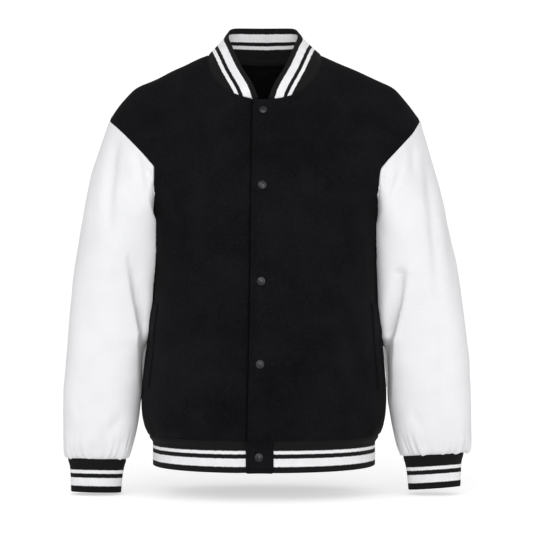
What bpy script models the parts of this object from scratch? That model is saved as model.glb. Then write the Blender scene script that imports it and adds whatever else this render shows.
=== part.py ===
"""A varsity jacket, closed and filled out as it is worn, hollow, with nobody in it.

Metres, +Z up. The front faces -Y and +X is the wearer's left. The origin is where the wearer holds it, between
the shoulders at the height of the back neck seam. Each cut piece is a wall of cloth between an outer and an
inner grid of points, which are worked out from the sizes and the short tables below.
"""

import math

import bpy
import numpy as np

# Cloth and gaps
CLOTH = 0.0020
RIB = 0.0026
WELT_CLOTH = 0.0018
SEAM_GAP = 0.0003
LAP_GAP = 0.0005
SET_IN_SHIFT = 0.0006

# Body
SQUARENESS = 2.5
SHOULDER_ROUND = 0.18
HEM_SEAM_Z = -0.6165
UNDERARM = (0.1878, -0.2650)
SHOULDER_TIP = (0.2562, -0.1000)
NECK_HALF_WIDTH = 0.0934
NECK_ROUND = 2.2
NECK_LOW_Z = {-1: -0.0700, 1: 0.0000}

# Front opening: the left front laps over the right one, and the closing line leans towards the wearer's right
CLOSING_X_AT_NECK = -0.0022
CLOSING_LEAN = 0.0125
LAP_HALF_WIDTH = 0.0170
COLLAR_END_X = 0.0097
LAP_FOLD_X = 0.0186
LAP_CORNER_DROP = 0.0018

# Grid
LOW_ROW_HEIGHTS = (-0.6165, -0.6015, -0.5770, -0.5375, -0.5035, -0.4690, -0.4350, -0.4010, -0.3600, -0.3130)
ARMHOLE_STEPS = 12
NECK_COLUMNS = 5
SHOULDER_COLUMNS = {-1: 5, 1: 6}

# Bands
HEM_BOTTOM_Z = -0.6655
HEM_COLUMNS = 22
HEM_DRAWN_IN = 0.022
HEM_DRAW_HEIGHT = 0.012
TAB_SHIFT = 0.0010
COLLAR_ROWS = 4
TAB_HALF_WIDTH = 0.0215
UNDER_TAB_HALF_WIDTH = 0.0160
TAB_COLUMNS = 4
CUFF_ROWS = 3

# Side pockets: each welt covers one column of the front's grid
WELT_COLUMN_FROM_SIDE = 3
WELT_TOP_Z = -0.4010
WELT_BOTTOM_Z = -0.5375

# Snaps
SNAP_HEIGHTS = (-0.0890, -0.2110, -0.3630, -0.4940, -0.6420)
SNAP_RADIUS = 0.0066
SNAP_HEIGHT = 0.0026
SNAP_RIM = 0.0008
SNAP_ARC_POINTS = 6
SNAP_STEPS = 20
SNAP_LIFT = 0.0004

# Points inside the body, the collar and the hem band, which tell a wall's outer side
BODY_MIDDLE = np.array([0.0, 0.0, -0.35])
COLLAR_MIDDLE = np.array([0.0, 0.0, -0.02])
HEM_MIDDLE = np.array([0.0, 0.0, -0.64])

BLACK_FLEECE = ("black_fleece", (0.010, 0.010, 0.011), 0.90, 0.0)
WHITE_FLEECE = ("white_fleece", (0.83, 0.83, 0.85), 0.85, 0.0)
STRIPED_RIB = ("striped_rib", (0.22, 0.22, 0.23), 0.85, 0.0)
GUNMETAL = ("gunmetal", (0.07, 0.07, 0.075), 0.35, 1.0)


def table(columns, *rows):
    """Rows of numbers as a dictionary of named columns."""
    return dict(zip(columns.split(), np.array(rows, float).T))


# Half-width and depths of the body by height. Above the underarm the half-width only sets how the depth rounds off.
BODY = table(
    "z half_width front back",
    (-0.6165, 0.1890, 0.1310, 0.1240),
    (-0.6015, 0.1960, 0.1370, 0.1300),
    (-0.5770, 0.2000, 0.1400, 0.1325),
    (-0.5450, 0.2010, 0.1405, 0.1330),
    (-0.5110, 0.1990, 0.1395, 0.1310),
    (-0.4610, 0.1935, 0.1390, 0.1290),
    (-0.3950, 0.1870, 0.1395, 0.1285),
    (-0.3400, 0.1855, 0.1410, 0.1295),
    (-0.3000, 0.1860, 0.1405, 0.1303),
    (-0.2650, 0.1878, 0.1393, 0.1308),
    (-0.2400, 0.1930, 0.1375, 0.1308),
    (-0.2200, 0.2030, 0.1350, 0.1302),
    (-0.2000, 0.2170, 0.1315, 0.1288),
    (-0.1500, 0.2610, 0.1160, 0.1220),
    (-0.1000, 0.2950, 0.0940, 0.1110),
    (-0.0700, 0.3100, 0.0825, 0.1040),
    (0.0000, 0.3300, 0.0710, 0.0890),
    (0.0550, 0.3400, 0.0600, 0.0800),
)

# The shoulder line seen from the front
SHOULDER = table(
    "x z",
    (0.0000, 0.0510),
    (0.0934, 0.0080),
    (0.1234, -0.0060),
    (0.1900, -0.0365),
    (0.2125, -0.0475),
    (0.2323, -0.0686),
    (0.2562, -0.1000),
)

# The armhole seam of each body piece seen from the front, from the underarm (0) to the shoulder tip (1)
ARMHOLE = table(
    "part front_left_x front_left_z front_right_x front_right_z back_x back_z",
    (0.000, *UNDERARM, *UNDERARM, *UNDERARM),
    (0.140, 0.1852, -0.2440, 0.1802, -0.2440, 0.1849, -0.2367),
    (0.260, 0.1836, -0.2120, 0.1762, -0.2120, 0.1857, -0.2138),
    (0.371, 0.1846, -0.1864, 0.1760, -0.1828, 0.1890, -0.1938),
    (0.460, 0.1941, -0.1728, 0.1849, -0.1699, 0.1936, -0.1784),
    (0.570, 0.2073, -0.1587, 0.1984, -0.1552, 0.2019, -0.1606),
    (0.700, 0.2229, -0.1419, 0.2152, -0.1375, 0.2174, -0.1419),
    (0.850, 0.2410, -0.1221, 0.2350, -0.1184, 0.2392, -0.1220),
    (1.000, *SHOULDER_TIP, *SHOULDER_TIP, *SHOULDER_TIP),
)

# Sleeve sections: the outer and inner edge seen from the front, half the depth, and how far forward the centre lies.
# Where the inner edge is narrower than the body, the sleeve lies against the body's side.
SLEEVE = table(
    "outer_left outer_right outer_z inner_left inner_right inner_z half_depth centre_y",
    (0.2562, 0.2562, -0.1000, 0.1878, 0.1878, -0.2650, 0.0900, 0.000),
    (0.2700, 0.2725, -0.1480, 0.1820, 0.1780, -0.2745, 0.0890, 0.000),
    (0.2820, 0.2860, -0.1900, 0.1740, 0.1600, -0.2870, 0.0870, -0.001),
    (0.2945, 0.2960, -0.2400, 0.1730, 0.1560, -0.3080, 0.0830, -0.003),
    (0.3050, 0.3043, -0.2900, 0.1760, 0.1610, -0.3390, 0.0780, -0.005),
    (0.3155, 0.3120, -0.3400, 0.1780, 0.1700, -0.3750, 0.0720, -0.007),
    (0.3225, 0.3170, -0.3900, 0.1815, 0.1790, -0.4120, 0.0660, -0.010),
    (0.3285, 0.3212, -0.4400, 0.1880, 0.1880, -0.4500, 0.0630, -0.012),
    (0.3310, 0.3228, -0.4650, 0.1910, 0.1910, -0.4680, 0.0620, -0.013),
    (0.3345, 0.3255, -0.5000, 0.1960, 0.1960, -0.5000, 0.0590, -0.016),
    (0.3362, 0.3288, -0.5450, 0.2045, 0.2045, -0.5450, 0.0540, -0.018),
    (0.3370, 0.3295, -0.5900, 0.2085, 0.2085, -0.5900, 0.0480, -0.020),
    (0.3365, 0.3285, -0.6240, 0.2155, 0.2155, -0.6250, 0.0410, -0.022),
    (0.3340, 0.3262, -0.6465, 0.2235, 0.2235, -0.6475, 0.0330, -0.022),
    (0.3280, 0.3235, -0.6525, 0.2275, 0.2275, -0.6545, 0.0280, -0.022),
)
SIDE_CLEARANCE = 0.0015
SIDE_TOP_Z = -0.2100
SLEEVE_STOPS = (0, 0.5, 1, 1.5, 2, 2.5, 3, 3.5, 4, 4.6, 5.2, 5.8, 6.4, 7, 7.5, 8, 9, 10, 11, 12, 13, 14)
ARMHOLE_FADE = 3.5
SLEEVE_DROP = {1: 0.0025, -1: -0.0025}

# Each cuff from its seam down: how far it narrows at its outer and inner edge, and half its depth
CUFF = table(
    "drop outer_in inner_in half_depth",
    (0.0000, 0.0000, 0.0000, 0.0280),
    (0.0160, 0.0042, 0.0047, 0.0258),
    (0.0350, 0.0052, 0.0075, 0.0250),
    (0.0535, 0.0058, 0.0090, 0.0250),
)

# The tuck at the inside of each elbow, where the forearm's front lies over the cloth beside the body: where its
# edge runs, and how far the cloth behind it is set back
TUCK = table(
    "z edge_left edge_right depth",
    (-0.2900, 0.2250, 0.2230, 0.0000),
    (-0.3450, 0.2240, 0.2170, 0.0040),
    (-0.3780, 0.2225, 0.2125, 0.0060),
    (-0.4250, 0.2150, 0.2065, 0.0100),
    (-0.4450, 0.2110, 0.2050, 0.0140),
    (-0.4650, 0.2095, 0.2080, 0.0280),
    (-0.5150, 0.2085, 0.2080, 0.0260),
    (-0.5600, 0.2075, 0.2060, 0.0000),
)
TUCK_WIDTH = 0.0100
CUFF_GATHERS = 8
CUFF_GATHER_DEPTH = 0.0022
CUFF_GATHER_REACH = 2.2

# The collar's folded edge, from the front end (0) to the centre back (1), for the wearer's left half
COLLAR_FOLD = table(
    "along x y z bulge",
    (0.00, 0.0097, -0.0800, -0.0670, 0.000),
    (0.20, 0.0205, -0.0665, -0.0430, 0.002),
    (0.40, 0.0355, -0.0420, -0.0120, 0.004),
    (0.57, 0.0515, -0.0080, 0.0265, 0.005),
    (0.65, 0.0563, 0.0060, 0.0410, 0.005),
    (0.74, 0.0550, 0.0250, 0.0530, 0.006),
    (0.87, 0.0320, 0.0410, 0.0570, 0.006),
    (1.00, 0.0000, 0.0470, 0.0578, 0.006),
)
COLLAR_NECK_POINT = 0.57
COLLAR_LAP_PART = 0.10


def smooth(at, stops, values):
    """A curve through (stops, values) that never swings past them."""
    at = np.asarray(at, float)
    stops, values = np.asarray(stops, float), np.asarray(values, float)
    if stops[0] > stops[-1]:
        stops, values = stops[::-1], values[::-1]
    step = np.diff(stops)
    rise = np.diff(values) / step
    slope = np.concatenate([rise[:1], np.zeros(len(rise) - 1), rise[-1:]])
    product = rise[1:] * rise[:-1]
    both = np.where(product > 0, rise[1:] + rise[:-1], 1.0)
    slope[1:-1] = np.where(product > 0, 2 * product / both, 0.0)
    place = np.clip(np.searchsorted(stops, at) - 1, 0, len(step) - 1)
    part = np.clip((at - stops[place]) / step[place], 0, 1)
    start = (1 + 2 * part) * (1 - part) ** 2 * values[place]
    end = part**2 * (3 - 2 * part) * values[place + 1]
    bend = part * (1 - part) ** 2 * slope[place] - part**2 * (1 - part) * slope[place + 1]
    return start + end + bend * step[place]


def ease(part):
    """0 to 1 with a soft start and end."""
    part = np.clip(part, 0, 1)
    return part * part * (3 - 2 * part)


def unit(vectors):
    return vectors / np.maximum(np.linalg.norm(vectors, axis=-1, keepdims=True), 1e-12)


# ---------------------------------------------------------------- body


def body_point(x, z, facing):
    """Point of the body's outer surface at x and z, on the front (-1) or the back (1)."""
    x, z = np.broadcast_arrays(np.asarray(x, float), np.asarray(z, float))
    across = np.abs(x)
    half_width = smooth(z, BODY["z"], BODY["half_width"])
    depth = smooth(z, BODY["z"], BODY["front" if facing < 0 else "back"])
    rounding = np.clip(1 - (across / half_width) ** SQUARENESS, 0, 1) ** (1 / SQUARENESS)
    below_shoulder = smooth(across, SHOULDER["x"], SHOULDER["z"]) - z
    arch = np.sqrt(1 - (1 - np.clip(below_shoulder / SHOULDER_ROUND, 0, 1)) ** 2)
    return np.stack([x, facing * depth * rounding * arch, z], -1)


def armhole(part, piece):
    """(x, z) on a piece's armhole seam, from the underarm (part 0) to the shoulder tip (part 1), x made positive."""
    return np.stack([smooth(part, ARMHOLE["part"], ARMHOLE[f"{piece}_{axis}"]) for axis in "xz"], -1)


def neckline_height(x, facing):
    """Height of the neck seam at a distance x from the centre."""
    part = np.clip(np.abs(x) / NECK_HALF_WIDTH, 0, 1)
    low = NECK_LOW_Z[facing]
    high = smooth(NECK_HALF_WIDTH, SHOULDER["x"], SHOULDER["z"])
    return high - (high - low) * (1 - part**NECK_ROUND) ** (1 / NECK_ROUND)


def closing_x(z):
    """x of the closing line of the fronts at height z."""
    return CLOSING_X_AT_NECK + CLOSING_LEAN * (np.asarray(z, float) - NECK_LOW_Z[-1])


def even_section(start, z, facing, count):
    """x of count + 1 points evenly spaced along the body's section at height z, from x = start to the side."""
    half_width = smooth(z, BODY["z"], BODY["half_width"])
    turn = np.linspace(0, math.pi / 2, 400)
    x = half_width * np.sin(turn) ** (2 / SQUARENESS)
    y = body_point(x, z, facing)[:, 1]
    length = np.concatenate([[0], np.cumsum(np.hypot(np.diff(x), np.diff(y)))])
    return np.interp(np.linspace(np.interp(start, x, length), length[-1], count + 1), length, x)


def top_edge(start, facing):
    """(x, z) along the neckline from x = start, then down the shoulder line to its tip."""
    first = math.asin(start / NECK_HALF_WIDTH)
    neck_x = NECK_HALF_WIDTH * np.sin(np.linspace(first, math.pi / 2, NECK_COLUMNS + 1))
    shoulder_x = np.linspace(NECK_HALF_WIDTH, SHOULDER_TIP[0], SHOULDER_COLUMNS[facing] + 1)[1:]
    neck = np.stack([neck_x, neckline_height(neck_x, facing)], -1)
    shoulder = np.stack([shoulder_x, smooth(shoulder_x, SHOULDER["x"], SHOULDER["z"])], -1)
    return np.concatenate([neck, shoulder])


def rows_to_top(low_rows, top, piece):
    """The rows below the underarm, then rows that rise from the last of them to the top edge and the armhole."""
    part = (1 - np.cos(np.linspace(0, math.pi, ARMHOLE_STEPS + 1))) / 2
    base = low_rows[-1]
    straight = base + part[:, None, None] * (top - base)
    miss = armhole(part, piece) - straight[:, -1]
    reach = np.linspace(0, 1, len(base)) ** 2
    return np.concatenate([low_rows[:-1], straight + miss[:, None, :] * reach[:, None]])


def low_heights():
    return LOW_ROW_HEIGHTS + (UNDERARM[1],)


def front_grid(side):
    """Outer points of one front, rows from the hem up, columns from the lap edge to the side."""
    count = NECK_COLUMNS + SHOULDER_COLUMNS[-1]

    def closing_columns(z):
        centre = side * closing_x(z)
        return [centre - LAP_HALF_WIDTH, centre + COLLAR_END_X, centre + LAP_FOLD_X]

    low_rows = []
    for z in low_heights():
        columns = closing_columns(z)
        x = np.concatenate([columns[:2], even_section(columns[2], z, -1, count)])
        low_rows.append(np.stack([x, np.full_like(x, z)], -1))
    columns = closing_columns(NECK_LOW_Z[-1])
    near = np.array([[x, neckline_height(x, -1)] for x in columns[:2]])
    near[0, 1] -= LAP_CORNER_DROP
    top = np.concatenate([near, top_edge(columns[2], -1)])
    flat = rows_to_top(np.array(low_rows), top, "front_left" if side > 0 else "front_right")
    grid = body_point(side * flat[..., 0], flat[..., 1], -1)
    if side < 0:
        grid[:, :3] -= (CLOTH + LAP_GAP) * body_normals(grid)[:, :3]
    return grid


def back_grid():
    """Outer points of the back, rows from the hem up, columns from the right side to the left."""
    count = NECK_COLUMNS + SHOULDER_COLUMNS[1]
    low_rows = []
    for z in low_heights():
        x = even_section(0.0, z, 1, count)
        low_rows.append(np.stack([x, np.full_like(x, z)], -1))
    flat = rows_to_top(np.array(low_rows), top_edge(0.0, 1), "back")
    half = body_point(flat[..., 0], flat[..., 1], 1)
    return np.concatenate([(half * [-1, 1, 1])[:, :0:-1], half], axis=1)


# ---------------------------------------------------------------- walls


def normals(grid, inside, loop=False):
    """Unit normals of a grid of points, pointing away from inside. A loop closes across its columns."""
    down = np.gradient(grid, axis=0)
    if loop:
        across = np.roll(grid, -1, axis=1) - np.roll(grid, 1, axis=1)
    else:
        across = np.gradient(grid, axis=1)
    found = np.cross(down, across)
    if np.sum(found * (grid - inside)) < 0:
        found = -found
    return unit(found)


def body_normals(grid):
    """Normals of a front or back, level with their neighbour's along the side and shoulder seams."""
    found = normals(grid, BODY_MIDDLE)
    on_seam = np.abs(grid[..., 1]) < 1e-6
    found[on_seam, 1] = 0
    return unit(found)


def keep_to_side(grid, facing):
    """Moves points off the side and shoulder seams by half the gap between the pieces."""
    grid[..., 1] = facing * np.maximum(facing * grid[..., 1], SEAM_GAP / 2)
    return grid


def material(look):
    name, colour, roughness, metallic = look
    made = bpy.data.materials.get(name) or bpy.data.materials.new(name)
    made.use_nodes = True
    shader = made.node_tree.nodes["Principled BSDF"]
    shader.inputs["Base Color"].default_value = (*colour, 1.0)
    shader.inputs["Roughness"].default_value = roughness
    shader.inputs["Metallic"].default_value = metallic
    return made


def turn_to_neighbour(found, neighbour):
    """Turns a seam row's normals towards those of the piece it is sewn to, where the two lie nearly in line."""
    agree = np.clip(np.sum(found * neighbour, -1, keepdims=True), 0, 1)
    return unit(found + 4 * agree**2 * neighbour)


def place(name, mesh, look, parent):
    mesh.materials.clear()
    mesh.materials.append(material(look))
    piece = bpy.data.objects.new(name, mesh)
    bpy.data.collections["varsity_jacket"].objects.link(piece)
    piece.parent = parent
    return piece


def wall(name, outer, inner, look, parent, loop=False):
    """A closed wall between two grids of points that match, open at its edges only by the wall's thickness."""
    rows, columns = outer.shape[:2]
    number = np.arange(rows * columns).reshape(rows, columns)
    if loop:
        number = np.concatenate([number, number[:, :1]], axis=1)
    inner_number = number + rows * columns
    quads = []

    def strip(a, b, c, d):
        quads.append(np.stack([a, b, c, d], -1).reshape(-1, 4))

    strip(number[:-1, :-1], number[:-1, 1:], number[1:, 1:], number[1:, :-1])
    strip(inner_number[:-1, :-1], inner_number[1:, :-1], inner_number[1:, 1:], inner_number[:-1, 1:])
    for row, flip in ((0, False), (-1, True)):
        a, b = number[row], inner_number[row]
        a, b = (b, a) if flip else (a, b)
        strip(a[:-1], b[:-1], b[1:], a[1:])
    if not loop:
        for column, flip in ((0, True), (-1, False)):
            a, b = number[:, column], inner_number[:, column]
            a, b = (b, a) if flip else (a, b)
            strip(a[:-1], b[:-1], b[1:], a[1:])
    mesh = bpy.data.meshes.new(name)
    points = np.concatenate([outer.reshape(-1, 3), inner.reshape(-1, 3)])
    mesh.from_pydata(points.tolist(), [], np.concatenate(quads).tolist())
    mesh.update()
    if signed_volume(points, np.concatenate(quads)) < 0:
        mesh.flip_normals()
    mesh.shade_smooth()
    mesh.set_sharp_from_angle(angle=math.radians(50))
    return place(name, mesh, look, parent)


def signed_volume(points, quads):
    a, b, c, d = (points[quads[:, corner]] for corner in range(4))
    return np.sum(np.cross(b - a, c - a) * a) + np.sum(np.cross(c - a, d - a) * a)


# ---------------------------------------------------------------- pieces


def make_body(parent):
    """Both fronts and the back. Returns their outer points and normals by name."""
    pieces = {"front_left": (front_grid(1), -1), "front_right": (front_grid(-1), -1), "back": (back_grid(), 1)}
    made = {}
    for name, (grid, facing) in pieces.items():
        found = body_normals(grid)
        grid = keep_to_side(grid, facing)
        inner = keep_to_side(grid - CLOTH * found, facing)
        wall(name, grid, inner, BLACK_FLEECE, parent)
        made[name] = (grid, found)
    return made


def make_welts(body, parent):
    """A welt over each pocket mouth, from the front's own points moved out."""
    heights = low_heights()
    rows = slice(heights.index(WELT_BOTTOM_Z), heights.index(WELT_TOP_Z) + 1)
    columns = slice(-WELT_COLUMN_FROM_SIDE - 1, -WELT_COLUMN_FROM_SIDE + 1)
    for side in ("left", "right"):
        grid, found = body[f"front_{side}"]
        seat = grid[rows, columns] + SEAM_GAP * found[rows, columns]
        wall(f"welt_{side}", seat + WELT_CLOTH * found[rows, columns], seat, BLACK_FLEECE, parent)


def sleeve_ring(stop, side):
    """Outer edge, inner edge, half depth and centre y of the sleeve's section at a stop of the table."""
    rows = np.arange(len(SLEEVE["outer_z"]))
    outer_x = smooth(stop, rows, SLEEVE["outer_left" if side > 0 else "outer_right"])
    drop = SLEEVE_DROP[side] * (stop / rows[-1]) ** 2
    outer = np.array([side * outer_x, smooth(stop, rows, SLEEVE["outer_z"]) + drop])
    inner_x = smooth(stop, rows, SLEEVE["inner_left" if side > 0 else "inner_right"])
    inner = np.array([side * inner_x, smooth(stop, rows, SLEEVE["inner_z"]) + drop])
    return outer, inner, smooth(stop, rows, SLEEVE["half_depth"]), smooth(stop, rows, SLEEVE["centre_y"])


def ring_points(outer, inner, half_depth, centre_y, turn):
    """An ellipse whose ends are at outer and inner. turn 0 is the outer end, and a quarter turn is the front."""
    centre, reach = (outer + inner) / 2, (outer - inner) / 2
    flat = centre + np.cos(turn)[:, None] * reach
    return np.stack([flat[:, 0], centre_y - half_depth * np.sin(turn), flat[:, 1]], -1)


def armhole_loop(body, side):
    """Points and body normals round the armhole: down the front from the tip, and up the back."""
    front, front_normals = body["front_left" if side > 0 else "front_right"]
    back, back_normals = body["back"]
    back_column = -1 if side > 0 else 0
    first = len(LOW_ROW_HEIGHTS)
    points = np.concatenate([front[:first:-1, -1], back[first:-1, back_column]])
    found = np.concatenate([front_normals[:first:-1, -1], back_normals[first:-1, back_column]])
    return points, found


def tuck_depth(x, z, side):
    """How far the cloth inside the elbow's tuck is set back at a point seen from the front."""
    edge = smooth(z, TUCK["z"], TUCK["edge_left" if side > 0 else "edge_right"])
    inside = (edge - np.abs(x)) / TUCK_WIDTH
    return smooth(z, TUCK["z"], TUCK["depth"]) * ease(inside + 0.5)


def clear_of_body(ring, side):
    """Moves a ring's points out to lie against the body's side, where they would be inside it."""
    z = ring[:, 2]
    half_width = smooth(z, BODY["z"], BODY["half_width"])
    front, back = (smooth(z, BODY["z"], BODY[name]) for name in ("front", "back"))
    deep = np.clip(np.abs(ring[:, 1]) / np.where(ring[:, 1] < 0, front, back), 0, 1)
    body_x = half_width * (1 - deep**SQUARENESS) ** (1 / SQUARENESS)
    least = np.where(z < SIDE_TOP_Z, body_x + SIDE_CLEARANCE, 0)
    ring[:, 0] = side * np.maximum(side * ring[:, 0], least)
    return ring


def sleeve_grid(body, side):
    """Outer points of a sleeve, rings from the armhole to the cuff, and the ring centres."""
    loop, loop_normals = armhole_loop(body, side)
    turn = np.linspace(0, 2 * math.pi, 2 * ARMHOLE_STEPS, endpoint=False)
    miss = loop - ring_points(*sleeve_ring(0, side), turn)
    last = SLEEVE_STOPS[-1]
    rings, centres = [], []
    for stop in SLEEVE_STOPS:
        outer, inner, half_depth, centre_y = sleeve_ring(stop, side)
        ring = ring_points(outer, inner, half_depth, centre_y, turn)
        ring += miss * (1 - ease(stop / ARMHOLE_FADE))
        front = ease(2 * np.sin(turn))
        ring[:, 1] += tuck_depth(ring[:, 0], ring[:, 2], side) * front
        gather = ease(1 - (last - stop) / CUFF_GATHER_REACH) * (stop < last)
        swell = 1 + CUFF_GATHER_DEPTH * gather * np.cos(CUFF_GATHERS * turn) / half_depth
        centre = np.array([(outer[0] + inner[0]) / 2, centre_y, (outer[1] + inner[1]) / 2])
        rings.append(clear_of_body(centre + (ring - centre) * swell[:, None], side))
        centres.append(np.broadcast_to(centre, ring.shape))
    grid, centres = np.array(rings), np.array(centres)
    away = unit(unit(grid[1] - grid[0]) + loop_normals)
    grid[0] = loop + SET_IN_SHIFT * away
    return grid, centres, loop_normals


def make_sleeves(body, parent):
    """Both sleeves and their cuffs."""
    for name, side in (("left", 1), ("right", -1)):
        grid, centres, loop_normals = sleeve_grid(body, side)
        found = normals(grid, centres, loop=True)
        found[0] = turn_to_neighbour(found[0], loop_normals)
        wall(f"sleeve_{name}", grid, grid - CLOTH * found, WHITE_FLEECE, parent, loop=True)
        make_cuff(name, side, parent)


def make_cuff(name, side, parent):
    """A cuff that goes on from the sleeve's last section, and narrows."""
    outer, inner, _, centre_y = sleeve_ring(SLEEVE_STOPS[-1], side)
    turn = np.linspace(0, 2 * math.pi, 2 * ARMHOLE_STEPS, endpoint=False)
    rings, centres = [], []
    for drop in np.linspace(0, CUFF["drop"][-1], CUFF_ROWS + 1):
        fall = max(drop, 1.2 * SEAM_GAP)
        out = outer + [-side * smooth(drop, CUFF["drop"], CUFF["outer_in"]), -fall]
        into = inner + [side * smooth(drop, CUFF["drop"], CUFF["inner_in"]), -fall]
        ring = ring_points(out, into, smooth(drop, CUFF["drop"], CUFF["half_depth"]), centre_y, turn)
        rings.append(ring)
        centres.append(np.broadcast_to(ring.mean(axis=0), ring.shape))
    grid = np.array(rings)
    found = normals(grid, np.array(centres), loop=True)
    found[..., 2] = 0
    wall(f"cuff_{name}", grid, grid - RIB * unit(found), STRIPED_RIB, parent, loop=True)


def neck_seam(body):
    """Points and body normals along the neck seam, from the right end of the collar round the back to the left."""
    front, back = NECK_COLUMNS + 2, NECK_COLUMNS
    pieces = []
    for kind in (0, 1):
        right = body["front_right"][kind][-1, 1 : front + 1]
        middle = body["back"][kind][-1]
        centre = len(middle) // 2
        left = body["front_left"][kind][-1, 1 : front + 1]
        pieces.append(np.concatenate([right[:-1], middle[centre - back : centre + back + 1], left[-2::-1]]))
    return pieces


def collar_parts(seam):
    """Where each point of the neck seam lies in the fold's table, and on which side."""
    points = seam.copy()
    step = np.linalg.norm(np.diff(points, axis=0), axis=1)
    length = np.concatenate([[0], np.cumsum(step)])
    centre = len(points) // 2
    neck_right, neck_left = centre - NECK_COLUMNS, centre + NECK_COLUMNS
    stops = [length[0], length[neck_right], length[centre], length[neck_left], length[-1]]
    parts = np.interp(length, stops, [0, COLLAR_NECK_POINT, 1, 2 - COLLAR_NECK_POINT, 2])
    sides = np.where(parts < 1, -1, 1)
    return np.where(parts > 1, 2 - parts, parts), sides


def make_collar(body, parent):
    """The folded band, from the neck seam to its fold, with a slight roll."""
    seam, seam_normals = neck_seam(body)
    parts, sides = collar_parts(seam)
    fold = np.stack([smooth(parts, COLLAR_FOLD["along"], COLLAR_FOLD[axis]) for axis in "xyz"], -1)
    fold[:, 0] *= sides
    lean = closing_x(NECK_LOW_Z[-1]) * (1 - ease(parts / COLLAR_NECK_POINT))
    fold[:, 0] += lean
    fold[:, 1] += np.where((sides < 0) & (parts < COLLAR_LAP_PART), CLOTH + LAP_GAP, 0)
    rise = unit(fold - seam)
    start = seam + SET_IN_SHIFT * unit(rise + seam_normals)
    part = np.linspace(0, 1, COLLAR_ROWS + 1)[:, None, None]
    grid = start + part * (fold - start)
    found = normals(grid, COLLAR_MIDDLE)
    bulge = smooth(parts, COLLAR_FOLD["along"], COLLAR_FOLD["bulge"])[:, None]
    grid = grid + 4 * part * (1 - part) * bulge * found
    found = normals(grid, COLLAR_MIDDLE)
    found[0] = turn_to_neighbour(found[0], seam_normals)
    wall("collar", grid, grid - RIB * found, STRIPED_RIB, parent)


def hem_section(x, z, facing):
    """Point of the hem band: the body's section at the seam, drawn in just below it."""
    seam = body_point(x, HEM_SEAM_Z, facing)
    drawn = 1 - HEM_DRAWN_IN * ease((HEM_SEAM_Z - z) / HEM_DRAW_HEIGHT)
    return np.stack([seam[..., 0] * drawn, seam[..., 1] * drawn, np.broadcast_to(z, seam.shape[:-1])], -1)


def band_grid(columns, facings):
    """Rows of the hem band over the given x, from its seam to its bottom edge."""
    grid = []
    for z in (HEM_SEAM_Z - SEAM_GAP, HEM_SEAM_Z - HEM_DRAW_HEIGHT, HEM_BOTTOM_Z):
        front, back = hem_section(columns, z, -1), hem_section(columns, z, 1)
        grid.append(np.where(facings[:, None] < 0, front, back))
    return np.array(grid)


def flat_normals(grid):
    """Level normals of a grid of the hem band."""
    found = normals(grid, HEM_MIDDLE)
    found[..., 2] = 0
    return unit(found)


def make_hem(parent):
    """The hem band from tab to tab round the back, and the tab at each end. Returns the outer tab's points."""
    centre = float(closing_x(HEM_SEAM_Z)) + TAB_SHIFT
    under = RIB + LAP_GAP
    left_start = centre + TAB_HALF_WIDTH + SEAM_GAP
    right_start = UNDER_TAB_HALF_WIDTH - centre + SEAM_GAP
    left = even_section(left_start, HEM_SEAM_Z, -1, HEM_COLUMNS // 2)
    right = even_section(TAB_HALF_WIDTH - centre + TAB_SHIFT, HEM_SEAM_Z, -1, HEM_COLUMNS // 2)
    right = np.concatenate([[right_start], right])
    back = even_section(0.0, HEM_SEAM_Z, 1, HEM_COLUMNS // 2)
    columns = np.concatenate([left, back[-2::-1], -back[1:-1], -right[::-1]])
    facings = np.ones(len(columns))
    facings[: len(left)] = -1
    facings[-len(right) :] = -1
    grid = band_grid(columns, facings)
    grid[:, -2:, 1] += under
    wall("hem_rib", grid, grid - RIB * flat_normals(grid), STRIPED_RIB, parent)

    tabs = {
        "hem_tab_left": (centre - TAB_HALF_WIDTH, centre + TAB_HALF_WIDTH, 0.0),
        "hem_tab_right": (centre - UNDER_TAB_HALF_WIDTH, centre + UNDER_TAB_HALF_WIDTH, under),
    }
    made = {}
    for name, (start, end, back_by) in tabs.items():
        columns = np.linspace(start, end, TAB_COLUMNS + 1)
        grid = band_grid(columns, np.full(len(columns), -1))
        grid[..., 1] += back_by
        found = flat_normals(grid)
        wall(name, grid, grid - RIB * found, BLACK_FLEECE, parent)
        made[name] = grid
    return made["hem_tab_left"]


# ---------------------------------------------------------------- snaps


def spot(grid, x, z):
    """Point and outward normal of a grid's facet at x and z. Rows and columns may run either way."""
    for row in range(len(grid) - 1):
        for column in range(grid.shape[1] - 1):
            corners = grid[row : row + 2, column : column + 2]
            low, high = corners[..., [0, 2]].min(axis=(0, 1)), corners[..., [0, 2]].max(axis=(0, 1))
            if not (low[0] <= x <= high[0] and low[1] <= z <= high[1]):
                continue
            along, up = corners[0, 1] - corners[0, 0], corners[1, 0] - corners[0, 0]
            facing = unit(np.cross(along, up))
            facing = facing if facing[1] < 0 else -facing
            start = corners[0, 0]
            depth = start[1] - ((x - start[0]) * facing[0] + (z - start[2]) * facing[2]) / facing[1]
            return np.array([x, depth, z]), facing
    raise ValueError(f"no facet at x {x:.4f}, z {z:.4f}")


def snap_profile():
    """The cap's half section, a shallow dome over a flat back, as a mesh that turns about its own Z axis."""
    arc = np.linspace(0, math.pi / 2, SNAP_ARC_POINTS)
    dome = [(SNAP_RADIUS * math.sin(a), SNAP_RIM + (SNAP_HEIGHT - SNAP_RIM) * math.cos(a)) for a in arc]
    dome[0] = (0.0, SNAP_HEIGHT)
    outline = dome + [(SNAP_RADIUS, 0.0), (0.0, 0.0)]
    mesh = bpy.data.meshes.new("snap_cap")
    points = [(radius, 0.0, height) for radius, height in outline]
    mesh.from_pydata(points, [(at, at + 1) for at in range(len(points) - 1)], [])
    return mesh


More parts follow.
